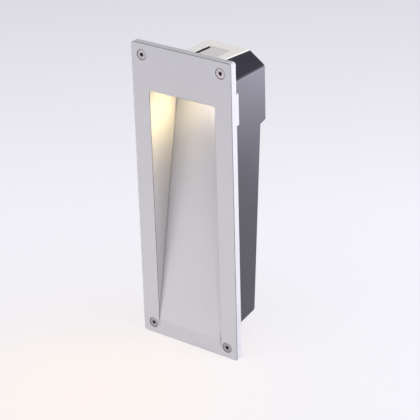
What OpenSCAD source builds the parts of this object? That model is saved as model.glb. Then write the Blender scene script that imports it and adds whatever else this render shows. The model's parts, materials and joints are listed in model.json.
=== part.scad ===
// Recessed wall light: a cast faceplate with a sloping light recess, and a black housing behind it.
// Millimetres. X runs along the width, +Y into the wall and +Z up.
// The origin is the middle of the faceplate's outline, on the plane of the wall.

/* [Faceplate] */
// Width of the faceplate
plate_w = 100; // [90:1:116]
// Height of the faceplate
plate_h = 270; // [250:1:300]
// Thickness of the faceplate
plate_t = 7; // [6:0.5:9]
// Radius of the faceplate's corners
plate_corner_r = 2; // [0.5:0.5:4]
// Distance of each corner screw from the side edge
screw_inset_x = 10.5; // [9.5:0.5:12]
// Distance of each corner screw from the upper or lower edge
screw_inset_z = 10; // [9:0.5:12]
// Height of the spacing lug behind each side edge
lug_h = 27.5; // [15:0.5:35]
// Width of the spacing lug, as a share of the faceplate's lap over the housing
lug_share = 0.2; // [0.15:0.01:0.22]
// Distance from the faceplate's upper edge to the spacing lug
lug_head = 27.5; // [22:0.5:40]

/* [Light recess] */
// Width of the recess
recess_w = 66; // [62:0.5:68]
// Height of the faceplate under the recess
recess_foot = 15; // [12:0.5:20]
// Height of the faceplate above the recess
recess_head = 40; // [38.5:0.5:45]
// Depth of the recess under its ceiling, from the face
recess_d = 39.4; // [34:0.2:40.5]
// Wall of the cast tray round the recess
tray_wall = 1.7; // [1.5:0.1:2]
// Thickness of the recess ceiling
ceiling_t = 3; // [2.4:0.2:3.6]

/* [Rear housing] */
// Distance from the faceplate's upper edge to the flat top, at the wall plane
top_margin = 11.5; // [11:0.5:13]
// Fall of the flat top towards the back, in degrees
top_tilt = 2.5; // [1:0.1:3]
// Height of the side shoulders under the flat top, as a share of the housing's width
shoulder_share = 0.18; // [0.165:0.005:0.19]
// Slope of the shoulders from the horizontal, in degrees
shoulder_angle = 34.8; // [33:0.2:38]
// Depth of the upper block behind the wall plane
block_d = 56; // [53:0.5:62]
// Height of the upper block
block_h = 61.1; // [56:0.1:70]
// Depth just under the upper block
under_block_d = 48.4; // [45:0.2:52]
// Fall of the ledge under the upper block
ledge_fall = 1.7; // [1:0.1:3]
// Depth at the foot of the housing
heel_d = 35.3; // [32:0.1:42]
// Height of the housing's foot above the faceplate's lower edge, at the wall plane
housing_foot = 19; // [18.5:0.5:24]
// Rise of the underside towards the back
heel_rise = 5.6; // [3:0.1:7]
// Wall of the housing
housing_wall = 2; // [1.8:0.1:2.5]

/* [Seals] */
// Thickness of the foam seal between faceplate and wall
wall_seal_t = 3; // [2:0.5:4]
// Width of the wall seal outside each corner screw's hole
seal_edge = 2; // [1.5:0.1:2.4]
// Thickness of the gasket between casting and housing
housing_gasket_t = 1.5; // [1:0.1:2]
// Thickness of the gasket under the top cover
cover_gasket_t = 0.4; // [0.3:0.1:0.8]

/* [Screws] */
// Shank radius of the four corner screws
corner_shank_r = 2; // [1.8:0.1:2.2]
// Head radius of the corner screws
corner_head_r = 4.3; // [4:0.1:4.6]
// Length of the corner screws over their heads
corner_screw_l = 16; // [14:1:18]
// Shank radius of the housing screws
housing_shank_r = 2; // [1.8:0.1:2.1]
// Head radius of the housing screws
housing_head_r = 3.5; // [3.2:0.1:3.8]
// Depth of thread that a housing screw finds in its post
housing_thread_l = 10; // [8:0.5:12]
// Radius of the posts that take the housing screws
post_r = 4; // [3.6:0.1:4.2]
// Shank radius of the small inner screws
small_shank_r = 1.25; // [1.1:0.05:1.4]
// Head radius of the small inner screws
small_head_r = 2.2; // [2:0.1:2.4]

/* [Light source] */
// Width of the opening in the recess ceiling, as a share of the recess
window_share = 0.56; // [0.5:0.01:0.57]
// Depth of the opening in the recess ceiling, front to back
window_d = 11; // [9:0.5:12]
// Thickness of the frosted glass
glass_t = 3; // [2.4:0.2:4]
// Number of light-emitting chips
chip_count = 6; // [3:1:8]
// Thickness of the chips' circuit board
led_board_t = 1.6; // [1:0.1:2]
// Thickness of the heat spreader
spreader_t = 3; // [2.4:0.2:3.4]

/* [Driver] */
// Width of the driver
driver_w = 44; // [38:0.5:46]
// Length of the driver's case without its ears
driver_l = 84; // [76:0.5:88]
// Thickness of the driver
driver_t = 17; // [15:0.2:18]
// Height of the driver's foot above the faceplate's lower edge
driver_rise = 60; // [57:0.5:64]

/* [Connection] */
// Number of poles of the terminal block
pole_count = 3; // [2:1:3]
// Height of the terminal block
terminal_h = 14; // [12:0.2:15]
// Radius of the cable that the grommet takes
cable_r = 4; // [3:0.1:4.5]
// Radius of the hole that holds the grommet
entry_r = 7; // [6.4:0.1:7.4]

/* [Top cover] */
// Thickness of the top cover
cover_t = 0.7; // [0.6:0.1:1.4]
// Width of the terminal flap, as a share of the flat top's
flap_share = 0.533; // [0.51:0.001:0.55]
// Length of the terminal flap, front to back
flap_l = 25; // [22:0.1:27]
// Thickness of the terminal flap
flap_t = 2; // [1.6:0.1:2.4]
// Distance of the flap's middle from the middle of the housing
flap_shift = 1.5; // [0:0.1:2.5]
// Distance from the wall plane to the flap's rear edge
flap_reach = 43; // [41:0.1:45]
// Width of the finger slot beside the flap
finger_w = 2.6; // [2:0.1:3]
// Radius of the flap's hinge pin
hinge_pin_r = 0.8; // [0.6:0.05:0.9]

/* [Hidden] */
$fn = 48;
hex = 6;            // sides of a hexagon
overrun = 1;        // how far a cut runs past the face it opens
bond = 0.4;         // how far fused shapes reach into each other
play = 0.1;         // gap round a screw in its thread
clear = 0.3;        // gap between pieces that only pass each other

// Faceplate and recess
plate_top = plate_h/2;
plate_foot = -plate_h/2;
plate_back = -wall_seal_t;
face = plate_back - plate_t;
window_w = recess_w*window_share;
recess_low = plate_foot + recess_foot;
recess_high = plate_top - recess_head;
recess_tan = recess_d/(recess_high - recess_low);
recess_angle = atan(recess_tan);
tray_skin = tray_wall/cos(recess_angle);
ceiling_top = recess_high + ceiling_t;
corner_x = plate_w/2 - screw_inset_x;
corner_z = plate_h/2 - screw_inset_z;
corner_sink = 0.2;          // how far a corner screw's head lies under the face
screw_neck = 0.25;          // how much thinner the shank is in front of the wall plane
corner_socket_r = 1.5;
corner_socket_d = 1.6;
countersink_gap = 0.5;      // ring that shows round each head

// Housing
housing_w = recess_w + 2*(tray_wall + clear + housing_wall);
plate_lap = (plate_w - housing_w)/2;
lug_w = plate_lap*lug_share;
seal_hole_r = 5;            // room in the wall seal round each corner screw
seal_margin = screw_inset_x - seal_hole_r - seal_edge;
housing_front = plate_back + housing_gasket_t;
top_z = plate_top - top_margin;
roof_drop = cover_t + cover_gasket_t;
shoulder_drop = housing_w*shoulder_share;
shoulder_z = top_z - shoulder_drop;
step_z = top_z - block_h;
under_z = step_z - ledge_fall;
foot_z = plate_foot + housing_foot;
heel_z = foot_z + heel_rise;
foot_tan = heel_rise/heel_d;

// Posts of the casting, and the housing's bosses that meet them
screw_head_h = 2.4;
screw_seal_t = 1;
seat_t = 3;                 // wall under each housing screw's head
head_cover = 0.5;           // how far a head lies under the surface
boss_wall = 1.8;
counterbore_r = housing_head_r + 2*clear;
boss_r = counterbore_r + boss_wall;
post_inset = 7;             // from the housing's side to a post's axis
post_x = housing_w/2 - post_inset;
lower_post_z = heel_z + boss_r + housing_wall;
upper_post_z = shoulder_z - post_r;
post_rows = [lower_post_z, (lower_post_z + upper_post_z)/2, upper_post_z];
socket_r = 1.2;
socket_d = 1.4;

// Light source, stacked on the recess ceiling
window_gasket_t = 0.8;
window_frame_t = 2;
glass_lap = 3;              // how much wider the glass is than its opening
led_gap = 1.2;              // from the faceplate's back to the glass
reflector_h = 4.6;
chip_w = 2.8;
chip_h = 0.7;
pad_t = 0.5;
spreader_leg_h = 5.4;
small_grip = 4;             // depth of the small screws' threaded holes
small_head_h = 1.4;
small_drive_r = 0.7;
small_drive_d = 0.7;
glass_w = window_w + glass_lap;
glass_d = window_d + glass_lap;
window_y = plate_back + led_gap + glass_d/2;
led_rear = window_y + glass_d/2;
glass_z = ceiling_top + window_gasket_t;
frame_z = glass_z + glass_t;
reflector_z = frame_z + window_frame_t;
board_z = reflector_z + reflector_h;
pad_z = board_z + led_board_t;
spreader_z = pad_z + pad_t;
spreader_top = spreader_z + spreader_t;
window_screw_x = glass_w/2 + small_head_r + clear;
screw_share = 0.25;         // where two screws stand, as a share of the light source's width
spreader_screw_x = window_w*screw_share;
board_screw_x = window_w/2 - small_head_r - clear;
board_grip = spreader_t - 2*clear;
chip_span = 2*(board_screw_x - small_head_r - chip_w);

// Driver, on bosses behind the sloping panel
driver_standoff = 3;
driver_shell = 1.5;
driver_ear_l = 8;
driver_ear_w = 11;
driver_ear_t = 3;
driver_board_t = 1.5;
driver_board_lift = 2.5;
driver_pillar_r = 1.8;
pillar_share = 0.125;       // where the pillars stand, as a share of the driver's length
driver_screw_r = 1.5;
driver_screw_head_r = 2.8;
driver_screw_head_h = 1.8;
driver_boss_r = 3.6;
driver_grip = 3;
transformer_w = 20;
transformer_l = 22;
transformer_h = 8;
transformer_flange = 1.6;
transformer_share = 0.33;   // where the transformer lies, as a share of the driver's length
capacitor_share = 0.55;
capacitor_r = 3.4;
capacitor_l = 15;
capacitor_count = 2;
capacitor_pitch = 14.6;
driver_z = plate_foot + driver_rise;
driver_rear = driver_standoff + driver_t;
board_margin = driver_shell + clear;
component_y = driver_standoff + driver_shell + driver_board_lift + driver_board_t;

// Top cover and its flap, measured from the sloping top
flap_gap = 0.4;
flap_sink = 0.6;
knuckle_r = 1.6;
hinge_play = 0.05;
pin_hold = 2;
tub_wall = 2;
tub_end = 3;
tub_floor_t = 1.5;
floor_ledge = 1.2;          // ledge of the tub's floor under the flap's edge
seal_lip_w = 0.9;           // lip of the flap's seal, up the finger slot's outer wall
seal_lip_drop = 0.3;
hook_w = 6;
hook_out = 0.9;
hook_h = 1.2;
gasket_side = 1.2;          // how far the cover's gasket stays inside its edge
cover_front = plate_back + clear;
top_w = housing_w - 2*shoulder_drop/tan(shoulder_angle);
flap_w = top_w*flap_share;
flap_left = flap_shift - flap_w/2;
flap_right = flap_shift + flap_w/2;
flap_front = flap_reach - flap_l;
flap_under = -(flap_sink + flap_t);
hinge_x = flap_right - knuckle_r;
hinge_z = -(flap_sink + knuckle_r);
tub_floor = hinge_z - knuckle_r - 2*clear;
tub_low = tub_floor - tub_floor_t;
pocket_left = flap_left - finger_w;
pocket_right = flap_right + flap_gap;
pocket_front = flap_front - flap_gap;
pocket_rear = flap_reach + flap_gap;
hole_left = flap_left + floor_ledge;
hole_right = hinge_x - knuckle_r - floor_ledge;
hole_front = flap_front + floor_ledge;
hole_rear = flap_reach - floor_ledge;

// Terminal block, on bosses at the rear of the recess ceiling
wire_r = 0.9;
inner_boss_h = 2;
terminal_d = 12;
terminal_end = 4.6;         // each end of the block, with its screw
tool_r = 1.3;               // screwdriver that reaches the poles through the tub's floor
terminal_gap = 6.4;         // room for the wires between light source and block
clamp_w = 3.8;
clamp_d = 7.6;
clamp_h = 5.6;
terminal_screw_r = 1.1;
terminal_head_r = 1.7;
terminal_head_h = 1.2;
terminal_screw_pitch = 4.2;
wire_hole_r = 1.3;
block_screw_r = 1.1;
block_head_r = 1.8;
pole_pitch = (hole_right - hole_left - 2*tool_r)/(pole_count - 1);
terminal_x = (hole_left + hole_right)/2;
terminal_w = pole_count*pole_pitch + 2*terminal_end;
terminal_front = led_rear + terminal_gap;
terminal_y = terminal_front + terminal_d/2;
terminal_z = ceiling_top + inner_boss_h;
terminal_top = terminal_z + terminal_h;
terminal_left = terminal_x - terminal_w/2;
terminal_right = terminal_x + terminal_w/2;
wire_z = terminal_z + terminal_h/2 - terminal_screw_r;
clamp_z = wire_z - clamp_h/2;
terminal_screw_l = clamp_h/2 + clear - wire_r - play;
earth_x = terminal_left - 2*inner_boss_h - small_head_r;
earth_z = ceiling_top + inner_boss_h;
ring_t = 0.8;
ring_r = 2.6;
barrel_r = 1.5;
barrel_l = 4;

// Wires inside
wire_sides = 8;
wire_steps = 4;
wire_play = 0.1;
wire_pitch = 2.2;           // between wires that run side by side
led_wire_pitch = 2.8;
lane = 4;                   // from a wire's path to what it passes
driver_hole_r = wire_r + clear;
driver_hole_pitch = 3.2;
driver_hole_share = 0.25;   // where the wires enter, as a share of the driver's width
driver_hole_x = driver_w*driver_hole_share;
driver_hole_y = component_y + wire_r + 2*clear;

// Cable entry in the left wall, and the clamp behind it
flange_lap = 2;
flange_t = 2;
lip_lap = 1.2;
lip_t = 2;
entry_drop = 8;             // from the recess ceiling down to the entry
entry_z = recess_high - entry_drop;
entry_y = block_d - housing_wall - entry_r - flange_lap;
wall_x = housing_w/2 - housing_wall;
clamp_reach = 11.5;          // from the left wall to the middle of the clamp
clamp_x = -wall_x + clamp_reach;
clamp_bar_w = 7;
clamp_bar_l = 24;
clamp_bar_wall = 1.6;
clamp_bar_t = cable_r + clamp_bar_wall;
clamp_screw_r = 1.5;
clamp_screw_head_r = 2.6;
clamp_screw_head_h = 1.6;
clamp_grip = 6;
clamp_pitch = (cable_r + clamp_bar_l/2)/2;

// Height of the flat top at a distance y behind the wall plane, lowered by drop
function roof_z(y, drop = 0) = top_z - tan(top_tilt)*y - drop/cos(top_tilt);
// Half width between the shoulders at height z
function shoulder_x(z) = housing_w/2 - (z - shoulder_z)/tan(shoulder_angle);
// Surface of the sloping panel, and the back of the tray behind it
function recess_y(z) = face + recess_tan*(z - recess_low);
function tray_y(z) = recess_y(z) + tray_skin;
// Outer surface of the housing's back
function rear_y(z) = z > step_z ? block_d
    : heel_d + (under_block_d - heel_d)*(z - heel_z)/(under_z - heel_z);
// Where a post starts on the casting, and where it ends and the housing's boss begins
function post_start(z) = z > ceiling_top ? plate_back : max(plate_back, recess_y(z));
function post_end(z) = rear_y(z - boss_r) - head_cover - screw_head_h - screw_seal_t - seat_t;
// Middle of a pole of the terminal block
function pole_x(i) = terminal_x + (i - (pole_count - 1)/2)*pole_pitch;
// A point behind the sloping panel: x, distance from the tray's back, height on the driver's scale
function behind_tray(x, out, up) = [x,
    tray_y(driver_z) + out*cos(recess_angle) + up*sin(recess_angle),
    driver_z - out*sin(recess_angle) + up*cos(recess_angle)];

// Where a wire enters the driver on one side: the first or the second hole
function driver_wire_x(side, k) = side*(driver_hole_x + (k - 1/2)*driver_hole_pitch);

// Outline of the housing seen from the front, cut off at two heights, counterclockwise
function front_outline(low, high) = [[-housing_w/2, low], [housing_w/2, low],
    [housing_w/2, shoulder_z], [shoulder_x(high), high], [-shoulder_x(high), high],
    [-housing_w/2, shoulder_z]];
// Outline of the housing seen from its side, with the flat top lowered by drop
function side_outline(drop, front) = [[front, foot_z + foot_tan*front], [heel_d, heel_z],
    [under_block_d, under_z], [block_d, step_z], [block_d, roof_z(block_d, drop)],
    [front, roof_z(front, drop)]];
// Outline that the housing's rim leaves on a plane at y
function rim_outline(y, drop) = front_outline(foot_z + foot_tan*y, roof_z(y, drop));

// An outline moved inwards by d: each corner is where its two shifted edges cross
function shifted(a, b, d) = let (n = [a[1] - b[1], b[0] - a[0]]/norm(b - a)) [a + d*n, b + d*n];
function crossing(p, q) = let (u = p[1] - p[0], v = q[1] - q[0], w = q[0] - p[0])
    p[0] + u*(w[0]*v[1] - w[1]*v[0])/(u[0]*v[1] - u[1]*v[0]);
function inset(points, d) = let (n = len(points)) [for (i = [0 : n - 1])
    crossing(shifted(points[(i + n - 1) % n], points[i], d),
        shifted(points[i], points[(i + 1) % n], d))];

// A smooth path through points, with a few steps between each two
function spline(a, b, c, d, u) = (2*b + (c - a)*u + (2*a - 5*b + 4*c - d)*u*u
    + (3*b - a - 3*c + d)*u*u*u)/2;
function path(points) = let (n = len(points)) concat([for (i = [0 : n - 2], s = [0 : wire_steps - 1])
    spline(points[max(i - 1, 0)], points[i], points[i + 1], points[min(i + 2, n - 1)],
        s/wire_steps)], [points[n - 1]]);
function unit(v) = v/norm(v);
function headings(c) = let (n = len(c)) [for (i = [0 : n - 1])
    unit(c[min(i + 1, n - 1)] - c[max(i - 1, 0)])];
// Each ring's side direction, carried over from the ring before, so that the wire doesn't twist
function carried(t, i, s) = i == len(t) ? []
    : let (now = unit(s - (s*t[i])*t[i])) concat([now], carried(t, i + 1, now));

// Placing
module along_y(y0, y1) {
    translate([0, y1, 0]) rotate([90, 0, 0]) linear_extrude(y1 - y0) children();
}
module along_x(w) {
    translate([-w/2, 0, 0]) rotate([90, 0, 90]) linear_extrude(w) children();
}
module to_back() {
    rotate([-90, 0, 0]) children();
}
module to_front() {
    rotate([90, 0, 0]) children();
}
module to_left() {
    rotate([0, -90, 0]) children();
}
module at_pair(x, y, z) {
    for (side = [-1, 1]) translate([side*x, y, z]) children();
}
module at_corners() {
    for (z = [-corner_z, corner_z]) at_pair(corner_x, face, z) children();
}
module at_posts() {
    for (z = post_rows) at_pair(post_x, post_end(z), z) children();
}
module on_roof() {
    translate([0, 0, top_z]) rotate([-top_tilt, 0, 0]) children();
}
module on_tray_back() {
    translate([0, tray_y(driver_z), driver_z]) rotate([-recess_angle, 0, 0]) children();
}
module at_driver_ears(y) {
    for (z = [-driver_ear_l/2, driver_l + driver_ear_l/2]) translate([0, y, z]) to_back() children();
}
module at_window_screws() {
    at_pair(window_screw_x, window_y, frame_z) children();
}
module at_board_screws() {
    at_pair(board_screw_x, window_y, board_z) children();
}
module at_spreader_screws(y) {
    at_pair(spreader_screw_x, y, spreader_top + small_head_r + clear) children();
}
module at_block_screws(z) {
    for (side = [-1, 1])
        translate([terminal_x + side*(terminal_w - terminal_end)/2, terminal_y, z]) children();
}
module at_clamp_screws(y) {
    for (side = [-1, 1]) translate([clamp_x, y, entry_z + side*clamp_pitch]) children();
}

// Shapes
module block(x0, x1, y0, y1, z0, z1) {
    translate([x0, y0, z0]) cube([x1 - x0, y1 - y0, z1 - z0]);
}
module rounded(w, h, r) {
    square([w - 2*r, h], center = true);
    square([w, h - 2*r], center = true);
    for (x = [-1, 1], z = [-1, 1]) translate([x*(w/2 - r), z*(h/2 - r)]) circle(r);
}
// A bar of width x and depth y round the light source's middle, from z0 to z1
module light_bar(x, y, z0, z1) {
    block(-x/2, x/2, window_y - y/2, window_y + y/2, z0, z1);
}
// A screw along +Z: its head rests on z = 0 and its shank points down
module pan_screw(shank_r, length, head_r, head_h, drive_r, drive_d) {
    difference() {
        union() {
            cylinder(r = head_r, h = head_h);
            translate([0, 0, -length]) cylinder(r = shank_r, h = length + bond);
        }
        translate([0, 0, head_h - drive_d]) cylinder(r = drive_r, h = drive_d + overrun, $fn = hex);
    }
}
module small_screw(length) {
    pan_screw(small_shank_r, length, small_head_r, small_head_h, small_drive_r, small_drive_d);
}
module outer_body(drop) {
    intersection() {
        along_y(housing_front, block_d + overrun)
            polygon(front_outline(plate_foot, top_z + overrun));
        along_x(housing_w + 2*overrun) polygon(side_outline(drop, housing_front));
    }
}
module cavity() {
    intersection() {
        along_y(housing_front - overrun, block_d + overrun)
            polygon(inset(front_outline(plate_foot, top_z + overrun), housing_wall));
        along_x(housing_w) polygon(inset(side_outline(roof_drop,
            housing_front - overrun - housing_wall), housing_wall));
    }
}
module tub_outline(extra, z0, z1) {
    block(pocket_left - tub_wall - extra, pocket_right + tub_wall + extra,
        pocket_front - tub_end - extra, pocket_rear + tub_end + extra, z0, z1);
}
// A wire: rings of points carried along a smooth path, closed at both ends
module wire(points) {
    c = path(points);
    t = headings(c);
    s = carried(t, 0, [1, 0, 1]);
    n = len(c);
    m = wire_sides;
    rings = [for (i = [0 : n - 1], j = [0 : m - 1])
        c[i] + wire_r*(s[i]*cos(360*j/m) + cross(t[i], s[i])*sin(360*j/m))];
    walls = [for (i = [0 : n - 2], j = [0 : m - 1], k = [0, 1])
        let (a = i*m + j, b = i*m + (j + 1) % m)
            k == 0 ? [a, a + m, b] : [b, a + m, b + m]];
    caps = [for (j = [1 : m - 2], k = [0, 1]) let (e = (n - 1)*m)
        k == 0 ? [0, j, j + 1] : [e, e + j + 1, e + j]];
    polyhedron(points = rings, faces = concat(walls, caps));
}

// Front: the faceplate, with the light recess cast in one piece with it
module front_casting() {
    color("silver") difference() {
        union() {
            along_y(face, plate_back) rounded(plate_w, plate_h, plate_corner_r);
            tray_outside();
            casting_posts();
            edge_lugs();
            on_tray_back() at_driver_ears(-tray_wall/2)
                cylinder(r = driver_boss_r, h = driver_standoff + tray_wall/2);
            at_pair(window_screw_x, window_y, ceiling_top - bond)
                cylinder(r = small_head_r, h = frame_z - ceiling_top + bond);
            at_block_screws(ceiling_top - bond)
                cylinder(r = small_head_r, h = inner_boss_h + bond);
            translate([earth_x, terminal_y, ceiling_top - bond])
                cylinder(r = ring_r, h = inner_boss_h + bond);
        }
        recess_wedge();
        corner_holes();
        at_posts() to_front() translate([0, 0, -overrun])
            cylinder(r = housing_shank_r + play, h = housing_thread_l + 2*overrun);
        light_bar(window_w, window_d, recess_high - overrun, ceiling_top + overrun);
        on_tray_back() at_driver_ears(driver_standoff) translate([0, 0, -driver_grip - clear])
            cylinder(r = driver_screw_r + play, h = driver_grip + overrun);
        at_window_screws() small_hole();
        at_spreader_screws(plate_back) to_back() small_hole();
        at_block_screws(terminal_z) small_hole();
        translate([earth_x, terminal_y, earth_z]) small_hole();
    }
}
module small_hole() {
    translate([0, 0, -small_grip]) cylinder(r = small_shank_r + play, h = small_grip + overrun);
}
module tray_outside() {
    start = plate_back - bond;
    low = recess_low + (start - tray_skin - face)/recess_tan;
    along_x(recess_w + 2*tray_wall)
        polygon([[start, low], [tray_y(ceiling_top), ceiling_top], [start, ceiling_top]]);
}
module recess_wedge() {
    front = face - overrun;
    along_x(recess_w) polygon([[front, recess_low - overrun/recess_tan],
        [recess_y(recess_high), recess_high], [front, recess_high]]);
}
module casting_posts() {
    for (z = post_rows) at_pair(post_x, post_start(z) - bond, z) to_back()
        cylinder(r = post_r, h = post_end(z) - post_start(z) + bond);
}
module edge_lugs() {
    for (x = [-plate_w/2, plate_w/2 - lug_w]) block(x, x + lug_w, plate_back - bond, 0,
        plate_top - lug_head - lug_h, plate_top - lug_head);
}
module corner_holes() {
    sink_r = corner_head_r + countersink_gap;
    hole_r = corner_shank_r + clear;
    at_corners() to_back() {
        cylinder(r = hole_r, h = plate_t + overrun);
        translate([0, 0, -overrun]) cylinder(r = sink_r, h = overrun + corner_sink);
        translate([0, 0, corner_sink]) cylinder(r1 = sink_r, r2 = hole_r, h = sink_r - hole_r);
    }
}

// Foam seal that lies between the faceplate and the wall
module wall_seal() {
    color("dimgray") along_y(plate_back, 0) difference() {
        rounded(plate_w - 2*seal_margin, plate_h - 2*seal_margin, plate_corner_r);
        polygon(inset(rim_outline(plate_back, 0), -overrun));
        for (x = [-corner_x, corner_x], z = [-corner_z, corner_z])
            translate([x, z]) circle(seal_hole_r);
    }
}

// Countersunk screws in the faceplate's corners, standing out behind the wall plane
module corner_screws() {
    neck_r = corner_shank_r - screw_neck;
    cone_h = corner_head_r - neck_r;
    neck_h = -face - corner_sink;
    color("lightgray") at_corners() to_back() translate([0, 0, corner_sink]) difference() {
        union() {
            cylinder(r1 = corner_head_r, r2 = neck_r, h = cone_h);
            cylinder(r = neck_r, h = neck_h + bond);
            translate([0, 0, neck_h]) cylinder(r = corner_shank_r, h = corner_screw_l - neck_h);
        }
        translate([0, 0, -overrun]) cylinder(r = corner_socket_r,
            h = corner_socket_d + overrun, $fn = hex);
    }
}

// Gasket between the casting and the housing's rim
module housing_gasket() {
    color("black") along_y(plate_back, housing_front) difference() {
        polygon(rim_outline(housing_front, roof_drop));
        polygon(inset(rim_outline(housing_front, roof_drop), housing_wall));
    }
}

// Black housing with a deeper upper block, sloping shoulders and a flat, open top
module rear_housing() {
    color("darkslategray") difference() {
        union() {
            difference() {
                outer_body(roof_drop);
                cavity();
            }
            intersection() {
                outer_body(roof_drop);
                at_posts() to_back() cylinder(r = boss_r, h = block_d);
            }
            clamp_saddle();
        }
        at_posts() to_back() {
            translate([0, 0, -overrun]) cylinder(r = housing_shank_r + play, h = seat_t + 2*overrun);
            translate([0, 0, seat_t]) cylinder(r = counterbore_r, h = block_d);
        }
        on_roof() tub_outline(clear, -roof_drop - 2*housing_wall, overrun);
        translate([-wall_x + overrun, entry_y, entry_z])
            to_left() cylinder(r = entry_r, h = housing_wall + 2*overrun);
        translate([clamp_x + clamp_bar_w, entry_y, entry_z])
            to_left() cylinder(r = cable_r, h = 2*clamp_bar_w);
        at_clamp_screws(entry_y - overrun) to_back()
            cylinder(r = clamp_screw_r + play, h = clamp_grip + clear + overrun);
    }
}
module clamp_saddle() {
    block(clamp_x - clamp_bar_w/2, clamp_x + clamp_bar_w/2, entry_y, block_d - housing_wall + bond,
        entry_z - clamp_bar_l/2, entry_z + clamp_bar_l/2);
}

// Screws from behind, sunk in the housing's bosses, that hold it to the casting's posts
module housing_screws() {
    color("lightgray") at_posts() to_back() translate([0, 0, seat_t + screw_seal_t])
        pan_screw(housing_shank_r, seat_t + screw_seal_t + housing_thread_l, housing_head_r,
            screw_head_h, socket_r, socket_d);
}
module screw_seals() {
    color("black") at_posts() to_back() translate([0, 0, seat_t]) difference() {
        cylinder(r = housing_head_r, h = screw_seal_t);
        translate([0, 0, -overrun]) cylinder(r = housing_shank_r + play, h = screw_seal_t + 2*overrun);
    }
}

// Light source above the recess ceiling, shining down through frosted glass
module window_gasket() {
    color("black") difference() {
        light_bar(glass_w, glass_d, ceiling_top, glass_z);
        light_bar(window_w, window_d, ceiling_top - overrun, glass_z + overrun);
    }
}
module light_window() {
    color("white", 0.6) light_bar(glass_w, glass_d, glass_z, frame_z);
}
module window_frame() {
    color("gainsboro") difference() {
        light_bar(2*(window_screw_x + small_head_r), glass_d, frame_z, reflector_z);
        light_bar(window_w, window_d, frame_z - overrun, reflector_z + overrun);
        at_window_screws() translate([0, 0, -overrun])
            cylinder(r = small_shank_r + play, h = window_frame_t + 2*overrun);
    }
}
module window_screws() {
    color("lightgray") at_window_screws() translate([0, 0, window_frame_t])
        small_screw(window_frame_t + small_grip - clear);
}
module reflector() {
    color("white") difference() {
        light_bar(glass_w, glass_d, reflector_z, board_z);
        light_bar(window_w, window_d, reflector_z - overrun, board_z + overrun);
    }
}
module led_board() {
    color("ivory") difference() {
        light_bar(glass_w, glass_d, board_z, pad_z);
        at_board_screws() board_hole();
    }
}
module board_hole() {
    translate([0, 0, -overrun]) cylinder(r = small_shank_r + play,
        h = led_board_t + pad_t + board_grip + clear + overrun);
}
module led_chips() {
    color("khaki") for (i = [0 : chip_count - 1])
        translate([(i/(chip_count - 1) - 1/2)*chip_span, window_y, board_z - chip_h])
            translate([-chip_w/2, -chip_w/2, 0]) cube([chip_w, chip_w, chip_h]);
}
module thermal_pad() {
    color("lightpink") difference() {
        light_bar(glass_w, glass_d, pad_z, spreader_z);
        at_board_screws() board_hole();
    }
}
module board_screws() {
    color("lightgray") at_board_screws() rotate([180, 0, 0])
        small_screw(led_board_t + pad_t + board_grip);
}
module heat_spreader() {
    color("gainsboro") difference() {
        union() {
            block(-glass_w/2, glass_w/2, plate_back, led_rear, spreader_z, spreader_top);
            block(-glass_w/2, glass_w/2, plate_back, plate_back + spreader_t,
                spreader_z, spreader_top + spreader_leg_h);
        }
        at_board_screws() board_hole();
        at_spreader_screws(plate_back - overrun) to_back()
            cylinder(r = small_shank_r + play, h = spreader_t + 2*overrun);
    }
}
module spreader_screws() {
    color("lightgray") at_spreader_screws(plate_back + spreader_t) to_back()
        small_screw(spreader_t + small_grip - clear);
}

// Driver: a case with ears, its cover, and the board with its larger components
module driver_case() {
    x = driver_w/2;
    color("white") on_tray_back() difference() {
        union() {
            difference() {
                block(-x, x, driver_standoff, driver_rear - driver_shell, 0, driver_l);
                block(-x + driver_shell, x - driver_shell, driver_standoff + driver_shell,
                    driver_rear + overrun, driver_shell, driver_l - driver_shell);
            }
            block(-driver_ear_w/2, driver_ear_w/2, driver_standoff, driver_standoff + driver_ear_t,
                -driver_ear_l, driver_shell);
            block(-driver_ear_w/2, driver_ear_w/2, driver_standoff, driver_standoff + driver_ear_t,
                driver_l - driver_shell, driver_l + driver_ear_l);
            at_driver_pillars() cylinder(r = driver_pillar_r, h = driver_board_lift + bond);
        }
        at_driver_ears(driver_standoff - overrun)
            cylinder(r = driver_screw_r + play, h = driver_ear_t + 2*overrun);
        for (side = [-1, 1], k = [0, 1])
            translate([driver_wire_x(side, k), driver_hole_y, driver_l - 2*driver_shell])
                cylinder(r = driver_hole_r, h = 2*driver_shell + overrun);
    }
}
module at_driver_pillars() {
    for (z = [driver_l*pillar_share, driver_l*(1 - pillar_share)])
        at_pair(driver_w/2 - driver_shell - 2*driver_pillar_r,
            driver_standoff + driver_shell - bond, z) to_back() children();
}
module driver_cover() {
    x = driver_w/2;
    lip = driver_shell + play;
    color("white") on_tray_back() difference() {
        union() {
            block(-x, x, driver_rear - driver_shell, driver_rear, 0, driver_l);
            block(-x + lip, x - lip, driver_rear - 2*driver_shell, driver_rear - driver_shell + bond,
                lip, driver_l - lip);
        }
        block(-x + lip + driver_shell, x - lip - driver_shell, driver_rear - 2*driver_shell - overrun,
            driver_rear - driver_shell, lip + driver_shell, driver_l - lip - driver_shell);
    }
}
module driver_board() {
    x = driver_w/2 - board_margin;
    color("seagreen") on_tray_back() block(-x, x, component_y - driver_board_t, component_y,
        board_margin, driver_l - board_margin);
}
module driver_transformer() {
    color("goldenrod") on_tray_back() translate([0, component_y, driver_l*transformer_share]) {
        core = transformer_w/2 - transformer_flange;
        end = transformer_l/2 - transformer_flange;
        block(-core, core, 0, transformer_h, -end, end);
        for (z = [-transformer_l/2, end - bond]) block(-transformer_w/2, transformer_w/2, 0,
            transformer_h - transformer_flange, z, z + transformer_flange + bond);
    }
}
module driver_capacitors() {
    color("steelblue") on_tray_back() for (i = [0 : capacitor_count - 1])
        translate([(i - (capacitor_count - 1)/2)*capacitor_pitch, component_y + capacitor_r + clear,
            driver_l*capacitor_share]) cylinder(r = capacitor_r, h = capacitor_l);
}
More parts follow.
